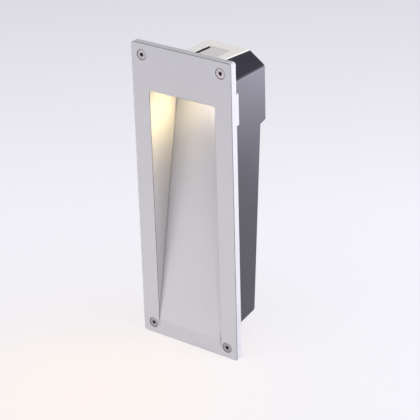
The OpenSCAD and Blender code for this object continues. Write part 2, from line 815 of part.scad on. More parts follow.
module driver_screws() {
    color("lightgray") on_tray_back() at_driver_ears(driver_standoff + driver_ear_t)
        pan_screw(driver_screw_r, driver_ear_t + driver_grip, driver_screw_head_r,
            driver_screw_head_h, driver_screw_r/2, driver_screw_head_h/2);
}

// Terminal block with brass clamps, and the earth point beside it
module terminal_block() {
    color("ivory") difference() {
        block(terminal_left, terminal_right, terminal_front, terminal_front + terminal_d,
            terminal_z, terminal_top);
        for (i = [0 : pole_count - 1]) translate([pole_x(i), terminal_y, 0]) {
            x = clamp_w/2 + play;
            y = clamp_d/2 + play;
            block(-x, x, -y, y, clamp_z - play, clamp_z + clamp_h + play);
            translate([0, -terminal_d/2 - overrun, wire_z]) to_back()
                cylinder(r = wire_hole_r, h = terminal_d + 2*overrun);
            at_pole_screws(clamp_z + clamp_h) cylinder(r = terminal_head_r + play, h = terminal_h);
        }
        at_block_screws(terminal_z - overrun) cylinder(r = block_screw_r + play, h = terminal_h + 2*overrun);
        at_block_screws(terminal_top - small_head_h)
            cylinder(r = block_head_r + play, h = small_head_h + overrun);
    }
}
module at_pole_screws(z) {
    for (side = [-1, 1]) translate([0, side*terminal_screw_pitch/2, z]) children();
}
module terminal_clamps() {
    color("gold") for (i = [0 : pole_count - 1]) translate([pole_x(i), terminal_y, 0]) difference() {
        block(-clamp_w/2, clamp_w/2, -clamp_d/2, clamp_d/2, clamp_z, clamp_z + clamp_h);
        translate([0, -clamp_d/2 - overrun, wire_z]) to_back()
            cylinder(r = wire_hole_r, h = clamp_d + 2*overrun);
        at_pole_screws(wire_z) cylinder(r = terminal_screw_r + play, h = clamp_h);
    }
}
module terminal_screws() {
    color("lightgray") for (i = [0 : pole_count - 1]) translate([pole_x(i), terminal_y, 0])
        at_pole_screws(clamp_z + clamp_h + clear)
            pan_screw(terminal_screw_r, terminal_screw_l, terminal_head_r, terminal_head_h,
                terminal_screw_r/2, terminal_head_h/2);
}
module block_screws() {
    color("lightgray") at_block_screws(terminal_top - small_head_h)
        pan_screw(block_screw_r, terminal_h - small_head_h + small_grip - clear, block_head_r,
            small_head_h, small_drive_r, small_drive_d);
}
module earth_screw() {
    color("lightgray") translate([earth_x, terminal_y, earth_z + ring_t])
        small_screw(ring_t + small_grip - clear);
}
module ring_terminal() {
    color("gold") translate([earth_x, terminal_y, earth_z]) difference() {
        union() {
            cylinder(r = ring_r, h = ring_t);
            translate([0, -ring_r, barrel_r]) to_front() cylinder(r = barrel_r, h = barrel_l);
            block(-barrel_r, barrel_r, -ring_r - barrel_l, 0, 0, ring_t);
        }
        translate([0, 0, -overrun]) cylinder(r = small_shank_r + play, h = ring_t + 2*overrun);
        translate([0, -ring_r - ring_t, barrel_r]) to_front() cylinder(r = wire_r + wire_play,
            h = barrel_l + overrun);
    }
}

// Wires from the block and from the light source down to the driver
module earth_wire() {
    x = pole_x(0);
    y = terminal_front;
    far = y - 2*wire_pitch;
    mouth = terminal_y - ring_r - barrel_l;
    z = earth_z + barrel_r;
    color("yellowgreen") wire([[x, terminal_y, wire_z], [x, y + wire_r, wire_z],
        [x, y - wire_r, wire_z], [x - wire_pitch, far + wire_r, wire_z],
        [earth_x + lane, far, (wire_z + z)/2], [earth_x + wire_r, mouth - 2*wire_pitch + wire_r, z],
        [earth_x, mouth - wire_r, z], [earth_x, mouth + barrel_l/2, z]]);
}
module mains_wires() {
    color("saddlebrown") for (i = [1 : pole_count - 1]) {
        x = pole_x(i);
        y = terminal_front;
        out = (pole_count - i)*wire_pitch;
        side = terminal_right + wire_r + out;
        rear = terminal_front + terminal_d;
        end = driver_wire_x(1, pole_count - i - 1);
        wire([[x, terminal_y, wire_z], [x, y + wire_r, wire_z], [x, y - wire_r/2, wire_z],
            [x + wire_pitch - wire_r/2, y - out, wire_z], [(x + side)/2, y - out, wire_z],
            [side - wire_pitch, y - out + wire_r/2, wire_z], [side, y + wire_pitch, wire_z],
            [side, rear - lane, wire_z], [side - wire_r, rear + lane, wire_z - lane],
            [side - wire_pitch, rear + 2*lane, ceiling_top - lane],
            behind_tray((side + end)/2, driver_rear - lane, driver_l + terminal_w),
            behind_tray(end, driver_hole_y, driver_l + lane),
            behind_tray(end, driver_hole_y, driver_l - lane)]);
    }
}
module led_wires() {
    color("firebrick") for (k = [0, 1]) {
        lap = k*led_wire_pitch;
        y = window_y + (2*k - 1)*wire_pitch;
        z = pad_z - wire_r;
        side = -glass_w/2 - wire_r - 2*clear - led_wire_pitch + lap;
        rear = terminal_left - lane - wire_pitch + wire_r + lap;
        end = driver_wire_x(-1, 1 - k);
        wire([[-glass_w/2 - wire_play, y, z], [side + wire_r, y + wire_r/2, z],
            [side, y + lane - lap/2, z], [side, led_rear + wire_r, z],
            [side + wire_r, terminal_y, z - lane],
            [(side + rear)/2, terminal_y + terminal_d/2, z - 2*lane],
            [rear, tray_y(ceiling_top) + lane, ceiling_top - wire_pitch],
            behind_tray(rear, driver_rear - 2*lane, driver_l + 2*terminal_w),
            behind_tray((rear + end)/2, driver_hole_y, driver_l + terminal_w/2),
            behind_tray(end, driver_hole_y, driver_l + lane),
            behind_tray(end, driver_hole_y, driver_l - lane)]);
    }
}

// Cable entry: a rubber grommet in the left wall, and a clamp for the cable behind it
module cable_grommet() {
    color("black") translate([-housing_w/2, entry_y, entry_z]) to_left() difference() {
        union() {
            cylinder(r = entry_r + flange_lap, h = flange_t);
            translate([0, 0, -housing_wall - bond])
                cylinder(r = entry_r - play, h = housing_wall + 2*bond);
            translate([0, 0, -housing_wall - lip_t]) cylinder(r = entry_r + lip_lap, h = lip_t);
        }
        translate([0, 0, -housing_wall - lip_t - overrun])
            cylinder(r = cable_r, h = housing_wall + lip_t + flange_t + 2*overrun);
    }
}
module cord_clamp() {
    color("white") difference() {
        block(clamp_x - clamp_bar_w/2, clamp_x + clamp_bar_w/2, entry_y - clamp_bar_t, entry_y,
            entry_z - clamp_bar_l/2, entry_z + clamp_bar_l/2);
        translate([clamp_x + clamp_bar_w, entry_y, entry_z])
            to_left() cylinder(r = cable_r, h = 2*clamp_bar_w);
        at_clamp_screws(entry_y - clamp_bar_t - overrun) to_back()
            cylinder(r = clamp_screw_r + play, h = clamp_bar_t + 2*overrun);
    }
}
module clamp_screws() {
    color("lightgray") at_clamp_screws(entry_y - clamp_bar_t) to_front()
        pan_screw(clamp_screw_r, clamp_bar_t + clamp_grip, clamp_screw_head_r,
            clamp_screw_head_h, clamp_screw_r/2, clamp_screw_head_h/2);
}

// Cover over the housing's open top: a slab with a sunken tub, where the flap lies
module cover_gasket() {
    color("black") difference() {
        intersection() {
            along_y(cover_front + gasket_side, block_d - gasket_side)
                polygon(inset(front_outline(plate_foot, top_z + overrun), gasket_side));
            roof_layer(-roof_drop, -cover_t);
        }
        on_roof() tub_outline(clear, -roof_drop - overrun, 0);
    }
}
module roof_layer(low, high) {
    on_roof() block(-housing_w, housing_w, -block_d, 2*block_d, low, high);
}
module top_cover() {
    color("antiquewhite") difference() {
        union() {
            intersection() {
                along_y(cover_front, block_d)
                    polygon(front_outline(plate_foot, top_z + overrun));
                roof_layer(-cover_t, 0);
            }
            on_roof() tub_outline(0, tub_low, -cover_t + bond);
            cover_hooks();
        }
        on_roof() {
            block(pocket_left, pocket_right, pocket_front, pocket_rear, tub_floor, overrun);
            block(hole_left, hole_right, hole_front, hole_rear,
                tub_low - hook_h - overrun, tub_floor + overrun);
            hinge_rod(hinge_pin_r + hinge_play, clear);
        }
    }
}
// Snap hooks on the tub's sides, under the housing's top wall
module cover_hooks() {
    y = (pocket_front + pocket_rear - hook_w)/2;
    high = -roof_drop - housing_wall - play;
    on_roof() for (x = [pocket_left - tub_wall - clear - hook_out, pocket_right + tub_wall - bond])
        block(x, x + clear + hook_out + bond, y, y + hook_w, high - hook_h, high);
}
// The hinge axis as a rod from one end wall of the tub to the other
module hinge_rod(r, extra) {
    translate([hinge_x, pocket_front - pin_hold - extra, hinge_z]) to_back()
        cylinder(r = r, h = pocket_rear - pocket_front + 2*pin_hold + 2*extra);
}
module terminal_flap() {
    color("lightgray") on_roof() difference() {
        union() {
            block(flap_left, hinge_x + bond, flap_front, flap_reach, flap_under, -flap_sink);
            translate([hinge_x, flap_front, hinge_z]) to_back()
                cylinder(r = knuckle_r, h = flap_l);
        }
        hinge_rod(hinge_pin_r + hinge_play, overrun);
    }
}
module flap_pin() {
    color("gray") on_roof() hinge_rod(hinge_pin_r, 0);
}
module flap_seal() {
    color("black") on_roof() {
        difference() {
            block(pocket_left + clear, hinge_x - knuckle_r - clear, pocket_front + clear,
                pocket_rear - clear, tub_floor, flap_under - clear);
            block(hole_left, hole_right, hole_front, hole_rear,
                tub_floor - overrun, flap_under + overrun);
        }
        block(pocket_left, pocket_left + seal_lip_w, pocket_front + clear, pocket_rear - clear,
            tub_floor, -seal_lip_drop);
    }
}

front_casting();
wall_seal();
corner_screws();
housing_gasket();
rear_housing();
housing_screws();
screw_seals();
window_gasket();
light_window();
window_frame();
window_screws();
reflector();
led_board();
led_chips();
thermal_pad();
heat_spreader();
spreader_screws();
board_screws();
driver_case();
driver_cover();
driver_board();
driver_transformer();
driver_capacitors();
driver_screws();
terminal_block();
terminal_clamps();
terminal_screws();
block_screws();
earth_screw();
ring_terminal();
earth_wire();
mains_wires();
led_wires();
cable_grommet();
cord_clamp();
clamp_screws();
cover_gasket();
top_cover();
terminal_flap();
flap_pin();
flap_seal();
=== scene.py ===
import json
import math
import bpy
import bmesh
import numpy as np
from mathutils import Matrix, Vector
from mathutils.geometry import tessellate_polygon


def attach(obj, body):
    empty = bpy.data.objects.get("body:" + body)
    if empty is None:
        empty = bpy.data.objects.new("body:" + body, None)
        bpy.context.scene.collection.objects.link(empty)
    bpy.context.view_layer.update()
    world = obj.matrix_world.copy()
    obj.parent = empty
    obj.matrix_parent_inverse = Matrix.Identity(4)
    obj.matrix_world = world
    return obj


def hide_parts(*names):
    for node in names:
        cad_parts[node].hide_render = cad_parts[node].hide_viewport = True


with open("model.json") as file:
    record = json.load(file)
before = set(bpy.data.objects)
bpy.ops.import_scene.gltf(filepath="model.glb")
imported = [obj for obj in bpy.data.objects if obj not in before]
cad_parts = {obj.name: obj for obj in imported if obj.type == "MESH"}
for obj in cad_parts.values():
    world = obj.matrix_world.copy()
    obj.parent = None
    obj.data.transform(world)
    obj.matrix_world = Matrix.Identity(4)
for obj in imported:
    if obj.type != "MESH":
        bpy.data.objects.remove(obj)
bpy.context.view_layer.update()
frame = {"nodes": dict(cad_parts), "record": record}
scene = bpy.context.scene
mm = 0.001
mergeReach = 2e-7
join = np.concatenate

# Camera: the photograph's viewing angle, solved from the faceplate's corners
cameraPlace = {"azimuth": 36.976, "elevation": 26.048, "roll": -1.679, "distance": 1.406808,
               "target": (0.025662, -0.010, 0.001954), "lens": 146.41}


def addCamera(v):
    # The camera stands on a sphere round the target, looks at it, then rolls about its own axis
    az, el, roll = (math.radians(v[k]) for k in ("azimuth", "elevation", "roll"))
    back = Vector((math.sin(az)*math.cos(el), -math.cos(az)*math.cos(el), math.sin(el)))
    side = (-back).cross(Vector((0, 0, 1))).normalized()
    up = side.cross(-back)
    right = side*math.cos(roll) + up*math.sin(roll)
    top = up*math.cos(roll) - side*math.sin(roll)
    data = bpy.data.cameras.new("photoCamera")
    data.lens, data.sensor_width, data.sensor_fit = v["lens"], 36.0, "AUTO"
    data.clip_start, data.clip_end = 0.01, 50.0
    camera = bpy.data.objects.new("photoCamera", data)
    scene.collection.objects.link(camera)
    turn = Matrix((right, top, back)).transposed().to_4x4()
    camera.matrix_world = Matrix.Translation(Vector(v["target"]) + back*v["distance"]) @ turn
    scene.camera = camera


addCamera(cameraPlace)
print("camera placed")


# Surfaces, worked out in millimetres

def unit(v):
    # Each vector divided by its own length
    return v/np.linalg.norm(v, axis=-1, keepdims=True)


def insetCorners(corners, d):
    # Both edges at a corner move inwards by d, so it moves by d (n1 + n2) / (1 + n1.n2)
    p = np.asarray(corners, float)
    edge = unit(np.roll(p, -1, 0) - p)
    n2 = np.stack([-edge[:, 1], edge[:, 0]], 1)
    n1 = np.roll(n2, 1, 0)
    return p + np.asarray(d)*(n1 + n2)/(1 + (n1*n2).sum(1, keepdims=True))


def roundOutline(corners, radii, steps=6):
    # Each corner gives way to an arc that touches its two edges r / tan(half angle) from it
    p = np.asarray(corners, float)
    r = np.broadcast_to(np.asarray(radii, float), len(p))
    a = unit(np.roll(p, 1, 0) - p)
    b = unit(np.roll(p, -1, 0) - p)
    half = np.arccos(np.clip((a*b).sum(1), -1, 1))/2
    middle = p + unit(a + b)*(r/np.sin(half))[:, None]
    reach = (r/np.tan(half))[:, None]
    start, end = p + a*reach - middle, p + b*reach - middle
    sweep = (math.pi - 2*half)[:, None, None]
    t = np.linspace(0, 1, steps + 1)[None, :, None]
    arc = (np.sin((1 - t)*sweep)*start[:, None] + np.sin(t*sweep)*end[:, None])/np.sin(sweep)
    return (middle[:, None] + arc).reshape(-1, 2)


def box4(x0, x1, z0, z1):
    # The four corners of a rectangle, the low left one first
    return np.array([[x0, z0], [x1, z0], [x1, z1], [x0, z1]], float)


def circle(cx, cz, r):
    # Points at equal angles on a circle
    t = np.linspace(0, 2*math.pi, 48, endpoint=False)
    return np.stack([cx + r*np.cos(t), cz + r*np.sin(t)], 1)


def onY(flat, y):
    # An outline (x, z) set at depth y, which may differ from point to point
    flat = np.asarray(flat, float)
    return np.stack([flat[:, 0], np.broadcast_to(y, len(flat)), flat[:, 1]], 1)


def level(flat, z):
    # An outline (x, y) set at height z
    return np.column_stack([flat, np.full(len(flat), float(z))])


class Surface:
    # Collects grids and flat faces of one piece, then makes its mesh
    def __init__(self):
        self.points, self.faces, self.total = [], [], 0

    def add(self, points, faces):
        # The new faces count their points on from those already there
        self.points.append(np.asarray(points, float).reshape(-1, 3))
        self.faces.extend((np.asarray(faces) + self.total).tolist())
        self.total += len(self.points[-1])

    def grid(self, rings, around=True):
        # Quads between neighbouring points of neighbouring rings
        rings = np.asarray(rings, float)
        i = np.arange(rings.shape[0]*rings.shape[1]).reshape(rings.shape[:2])
        a, b = (i, np.roll(i, -1, 1)) if around else (i[:, :-1], i[:, 1:])
        self.add(rings, np.stack([a[:-1], b[:-1], b[1:], a[1:]], -1).reshape(-1, 4))

    def fill(self, *loops):
        # Triangles between an outer loop and the holes in it
        outlines = [[Vector(p) for p in loop] for loop in loops]
        self.add(join(loops), tessellate_polygon(outlines))

    def closed(self, rings):
        # A tube with both ends filled
        self.grid(rings)
        self.fill(rings[0])
        self.fill(rings[-1])

    def turned(self, profile, place, n):
        # A profile (radius, distance) carried round the axis of place, a 3x4 matrix
        t = np.linspace(0, 2*math.pi, n, endpoint=False)
        r, h = np.asarray(profile, float).T
        rings = np.stack([r[:, None]*np.cos(t), r[:, None]*np.sin(t),
                          np.broadcast_to(h[:, None], (len(h), n))], -1)
        self.grid(rings @ place[:, :3].T + place[:, 3])

    def mesh(self, name, smooth=35):
        # Millimetres become metres, doubles merge, faces turn outwards, flat faces keep their shade
        data = bpy.data.meshes.new(name)
        data.from_pydata((join(self.points)*mm).tolist(), [], self.faces)
        bm = bmesh.new()
        bm.from_mesh(data)
        bmesh.ops.remove_doubles(bm, verts=bm.verts, dist=mergeReach)
        bmesh.ops.dissolve_degenerate(bm, edges=bm.edges, dist=mergeReach)
        bmesh.ops.recalc_face_normals(bm, faces=bm.faces)
        bm.to_mesh(data)
        bm.free()
        return finished(name, data, smooth)


def finished(name, data, smooth, soften=0.0):
    # A mesh becomes a piece: smooth faces, sharp only past an angle, edges bevelled if asked
    data.name = name
    data.shade_smooth()
    data.set_sharp_from_angle(angle=math.radians(smooth))
    piece = bpy.data.objects.new(name, data)
    scene.collection.objects.link(piece)
    if soften:
        bevel = piece.modifiers.new("soften", "BEVEL")
        bevel.width, bevel.segments, bevel.limit_method = soften*mm, 2, "ANGLE"
        bevel.angle_limit, bevel.harden_normals = math.radians(smooth), False
    weigh = piece.modifiers.new("flatShade", "WEIGHTED_NORMAL")
    weigh.keep_sharp = True
    return piece


def along(axis, x, y, z):
    # Frames for turned shapes whose axis is one of the object's: 3 columns and an origin
    frames = {"-x": ((0, 0, 1), (0, 1, 0), (-1, 0, 0)), "+y": ((0, 0, 1), (1, 0, 0), (0, 1, 0)),
              "-y": ((1, 0, 0), (0, 0, 1), (0, -1, 0)), "+z": ((1, 0, 0), (0, 1, 0), (0, 0, 1))}
    return np.array([*frames[axis], (x, y, z)], float).T


def wear(piece, material, body, slot, *nodes):
    # Paints a piece, fixes it to its body and hides the CAD nodes it stands for
    piece.data.materials.clear()
    piece.data.materials.append(material)
    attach(piece, body)
    if nodes:
        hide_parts(*nodes)
    return piece


# Materials: shared effects are groups, shaders stay in each material

def feed(tree, socket, value):
    # A number or a colour becomes the socket's own value, anything else is linked to it
    if isinstance(value, (int, float, tuple)):
        socket.default_value = value
    else:
        tree.links.new(value, socket)


def mathNode(tree, kind, *operands, clamp=False):
    # One operation on one or two values, kept between 0 and 1 if asked
    node = tree.nodes.new("ShaderNodeMath")
    node.operation, node.use_clamp = kind, clamp
    for socket, value in zip(node.inputs, operands):
        feed(tree, socket, value)
    return node.outputs[0]


def product(tree, first, *others):
    # All the values multiplied together
    for other in others:
        first = mathNode(tree, "MULTIPLY", first, other)
    return first


def squareSum(tree, a, b):
    # a squared plus b squared
    return mathNode(tree, "ADD", product(tree, a, a), product(tree, b, b))


def rise(tree, value, zero, gain):
    # 0 up to a value, then growing evenly to 1: gain times (value - zero). A negative gain falls instead.
    return mathNode(tree, "MULTIPLY", mathNode(tree, "SUBTRACT", value, zero), gain, clamp=True)


def addShare(tree, value, effect, share):
    # The value plus a share of an effect
    return mathNode(tree, "ADD", value, product(tree, effect, share), clamp=True)


def past(tree, value, limit):
    # How far a value, whatever its sign, is past a limit: |value| - limit
    return mathNode(tree, "SUBTRACT", mathNode(tree, "ABSOLUTE", value), limit)


def splitXYZ(tree, vector):
    # The three coordinates of a vector
    node = tree.nodes.new("ShaderNodeSeparateXYZ")
    tree.links.new(vector, node.inputs[0])
    return node.outputs


def mixColor(tree, factor, a, b):
    # a where the factor is 0, b where it is 1
    node = tree.nodes.new("ShaderNodeMix")
    node.data_type = "RGBA"
    for number, value in ((0, factor), (6, a), (7, b)):
        feed(tree, node.inputs[number], value)
    return node.outputs[2]


def stained(tree, paint, effect, share, color):
    # The paint gives way to a colour by a share of an effect
    return mixColor(tree, product(tree, effect, share), paint, (*color, 1.0))


def noise(tree, vector, scale, detail, rough=0.5):
    # Grey noise at a vector times the scale
    node = tree.nodes.new("ShaderNodeTexNoise")
    for label, value in (("Vector", vector), ("Scale", scale), ("Detail", detail), ("Roughness", rough)):
        feed(tree, node.inputs[label], value)
    return node.outputs["Fac"]


def newGroup(name, outputs, **floats):
    # A group with an input Vector, an input for each named number, and outputs that are numbers
    group = bpy.data.node_groups.new(name, "ShaderNodeTree")
    group.interface.new_socket(name="Vector", in_out="INPUT", socket_type="NodeSocketVector")
    for label, value in floats.items():
        socket = group.interface.new_socket(name=label, in_out="INPUT", socket_type="NodeSocketFloat")
        socket.default_value = value
    for label in outputs:
        group.interface.new_socket(name=label, in_out="OUTPUT", socket_type="NodeSocketFloat")
    return group, group.nodes.new("NodeGroupInput").outputs, group.nodes.new("NodeGroupOutput").inputs


def grainGroup():
    # Coat or moulding texture: fine and coarse noise for height, a broad one for tone, peaks for speckle
    group, given, made = newGroup("surfaceGrain", ("Height", "Tone", "Speckle"), Scale=900.0, Broad=14.0)
    fine = noise(group, given["Vector"], given["Scale"], 3.0, 0.6)
    coarse = noise(group, given["Vector"], product(group, given["Scale"], 0.28), 2.0)
    height = mathNode(group, "ADD", product(group, fine, 0.6), product(group, coarse, 0.4))
    group.links.new(height, made["Height"])
    group.links.new(noise(group, given["Vector"], given["Broad"], 4.0, 0.55), made["Tone"])
    group.links.new(rise(group, fine, 0.62, 9.0), made["Speckle"])
    return group


def dustGroup():
    # Dust lies where a face looks up, broken by noise
    group, given, made = newGroup("restingDust", ("Mask",), Amount=0.1)
    normal = splitXYZ(group, group.nodes.new("ShaderNodeNewGeometry").outputs["Normal"])
    up = rise(group, normal["Z"], 0.35, 1.5)
    patch = rise(group, noise(group, given["Vector"], 60.0, 5.0, 0.65), 0.35, 2.2)
    group.links.new(product(group, up, patch, given["Amount"]), made["Mask"])
    return group


def brushGroup():
    # Fine parallel lines: noise stretched along one direction
    group, given, made = newGroup("brushedLines", ("Lines",), Scale=900.0)
    stretch = group.nodes.new("ShaderNodeMapping")
    stretch.inputs["Scale"].default_value = (0.04, 1.0, 1.0)
    group.links.new(given["Vector"], stretch.inputs["Vector"])
    group.links.new(noise(group, stretch.outputs[0], given["Scale"], 3.0, 0.6), made["Lines"])
    return group


# Where the casting's own effects lie, in metres, the colour of the dust and the colours of the painted shade
effects = {
    "bandFrom": -0.00996, "bandTo": -0.00925, "bandHalf": 0.0326, "bandHigh": 0.0946, "bandLow": -0.125,
    "screwX": 0.0395, "screwZ": 0.125, "screwShadeBack": -0.004, "recessHalf": 0.033, "panelZero": 0.01199,
    "panelSlope": 0.183256, "dustColor": (0.62, 0.60, 0.57), "cornerShadeColor": (0.16, 0.115, 0.085),
    "screwShadeColor": (0.075, 0.060, 0.062)}


def edgeShadeGroup(v):
    # Painted shade: a narrow dark band just behind the faceplate's face, at every edge of it, stands for the
    # dark reflection in the rounded edges.
    # The sloping panel, which crosses that depth at the recess's foot, is left out.
    group, given, made = newGroup("paintedEdgeShade", ("Mask",))
    at = splitXYZ(group, given["Vector"])
    behind = rise(group, at["Y"], v["bandFrom"], 12000.0)
    before = rise(group, at["Y"], v["bandTo"], -6000.0)
    outside = mathNode(group, "GREATER_THAN", past(group, at["X"], v["bandHalf"]), 0.0)
    above = mathNode(group, "GREATER_THAN", at["Z"], v["bandHigh"])
    below = mathNode(group, "LESS_THAN", at["Z"], v["bandLow"])
    edge = mathNode(group, "MAXIMUM", outside, mathNode(group, "MAXIMUM", above, below))
    group.links.new(product(group, behind, before, edge), made["Mask"])
    return group


def screwShadeGroup(v):
    # Painted shade lies within a radius of each corner screw's axis, in the countersink's ring or the socket:
    # r is the root of dx squared plus dz squared
    group, given, made = newGroup("paintedScrewShade", ("Mask",), Radius=0.0048)
    at = splitXYZ(group, given["Vector"])
    dx = past(group, at["X"], v["screwX"])
    dz = past(group, at["Z"], v["screwZ"])
    inside = rise(group, mathNode(group, "SQRT", squareSum(group, dx, dz)), given["Radius"], -9000.0)
    front = mathNode(group, "LESS_THAN", at["Y"], v["screwShadeBack"])
    group.links.new(product(group, inside, front), made["Mask"])
    return group


def cornerShadeGroup(v):
    # Painted shade, dark in the corner between the recess's walls and its sloping panel, fades out within a
    # reach of it:
    # the distance is the root of dx squared plus dy squared, the panel's y growing evenly with z
    group, given, made = newGroup("paintedCornerShade", ("Mask",), Reach=0.0015)
    at = splitXYZ(group, given["Vector"])
    dx = past(group, at["X"], v["recessHalf"])
    panel = mathNode(group, "ADD", product(group, at["Z"], v["panelSlope"]), v["panelZero"])
    dy = mathNode(group, "SUBTRACT", at["Y"], panel)
    away = mathNode(group, "DIVIDE", mathNode(group, "SQRT", squareSum(group, dx, dy)), given["Reach"])
    near = mathNode(group, "SUBTRACT", 1.0, away, clamp=True)
    group.links.new(mathNode(group, "POWER", near, 0.6), made["Mask"])
    return group


groups = {"grain": grainGroup(), "dust": dustGroup(), "brush": brushGroup(), "edgeShade": edgeShadeGroup(effects),
          "screwShade": screwShadeGroup(effects), "cornerShade": cornerShadeGroup(effects)}


def placeGroup(tree, key, coords, **values):
    # A shared effect at the given coordinates, with its own values
    node = tree.nodes.new("ShaderNodeGroup")
    node.node_tree = groups[key]
    tree.links.new(coords, node.inputs["Vector"])
    for label, value in values.items():
        node.inputs[label].default_value = value
    return node.outputs


def finish(name, color, roughness, metallic=0.0, grain=900.0, bump=0.05, reach=0.0001, tone=0.06, speckle=0.0,
           dust=0.0, brush=0.0, level=0.5, glow=None, second=None, secondAt=None, clear=0.0, edgeShade=0.0,
           screwShade=0.0, cornerShade=0.0):
    # Colour is the base shifted by broad tone and stained by each effect; the edge band, the corner band and
    # the screw marks are painted shade. Roughness follows tone, brushing, dust and the painted screw shade.
    # A second colour lies beyond secondAt, or else where the mesh's own attribute core is 1.
    material = bpy.data.materials.new(name)
    material.use_nodes = True
    tree = material.node_tree
    coords = tree.nodes.new("ShaderNodeTexCoord").outputs["Object"]
    texture = placeGroup(tree, "grain", coords, Scale=grain)

    def tinted(factor, lift=0.0):
        # The base colour times a factor, lifted, and at most 1
        return tuple(min(1.0, c*factor + lift) for c in color)

    paint = mixColor(tree, texture["Tone"], (*tinted(1 - 2*tone), 1.0), (*tinted(1 + 2*tone), 1.0))
    if second and secondAt is None:
        core = tree.nodes.new("ShaderNodeAttribute")
        core.attribute_name = "core"
        paint = stained(tree, paint, core.outputs["Fac"], 1.0, second)
    elif second:
        beyond = mathNode(tree, "GREATER_THAN", splitXYZ(tree, coords)["X"], secondAt)
        paint = stained(tree, paint, beyond, 1.0, second)
    if speckle:
        paint = stained(tree, paint, texture["Speckle"], speckle, tinted(1.35, 0.03))
    rough = addShare(tree, roughness - 0.08, texture["Tone"], 0.16)
    if brush:
        brushed = placeGroup(tree, "brush", coords)["Lines"]
        paint = stained(tree, paint, brushed, 0.35, tinted(0.72))
        rough = addShare(tree, rough, brushed, brush)
    if dust:
        film = placeGroup(tree, "dust", coords, Amount=dust)["Mask"]
        paint = stained(tree, paint, film, 1.0, effects["dustColor"])
        rough = addShare(tree, rough, film, 0.3)
    # Painted shade: a dark band at the faceplate's edges and a dark band in the recess's corners
    for key, share, shadeColor in (("edgeShade", edgeShade, tinted(0.3)), ("cornerShade", cornerShade, effects["cornerShadeColor"])):
        if share:
            paint = stained(tree, paint, placeGroup(tree, key, coords)["Mask"], share, shadeColor)
    # Painted shade in the corner screws' countersinks and sockets, which also roughens the surface
    if screwShade:
        screwShadeMask = placeGroup(tree, "screwShade", coords, Radius=screwShade)["Mask"]
        paint = stained(tree, paint, screwShadeMask, 1.0, effects["screwShadeColor"])
        rough = addShare(tree, rough, screwShadeMask, 0.4)
    raised = tree.nodes.new("ShaderNodeBump")
    for label, value in (("Strength", bump), ("Distance", reach), ("Height", texture["Height"])):
        feed(tree, raised.inputs[label], value)
    values = {"Base Color": paint, "Roughness": rough, "Metallic": metallic, "Specular IOR Level": level,
              "Transmission Weight": clear, "Normal": raised.outputs[0]}
    if glow:
        values.update({"Emission Color": (*glow[0], 1.0), "Emission Strength": glow[1]})
    for label, value in values.items():
        feed(tree, tree.nodes["Principled BSDF"].inputs[label], value)
    material.diffuse_color = (*color, 1.0)
    return material


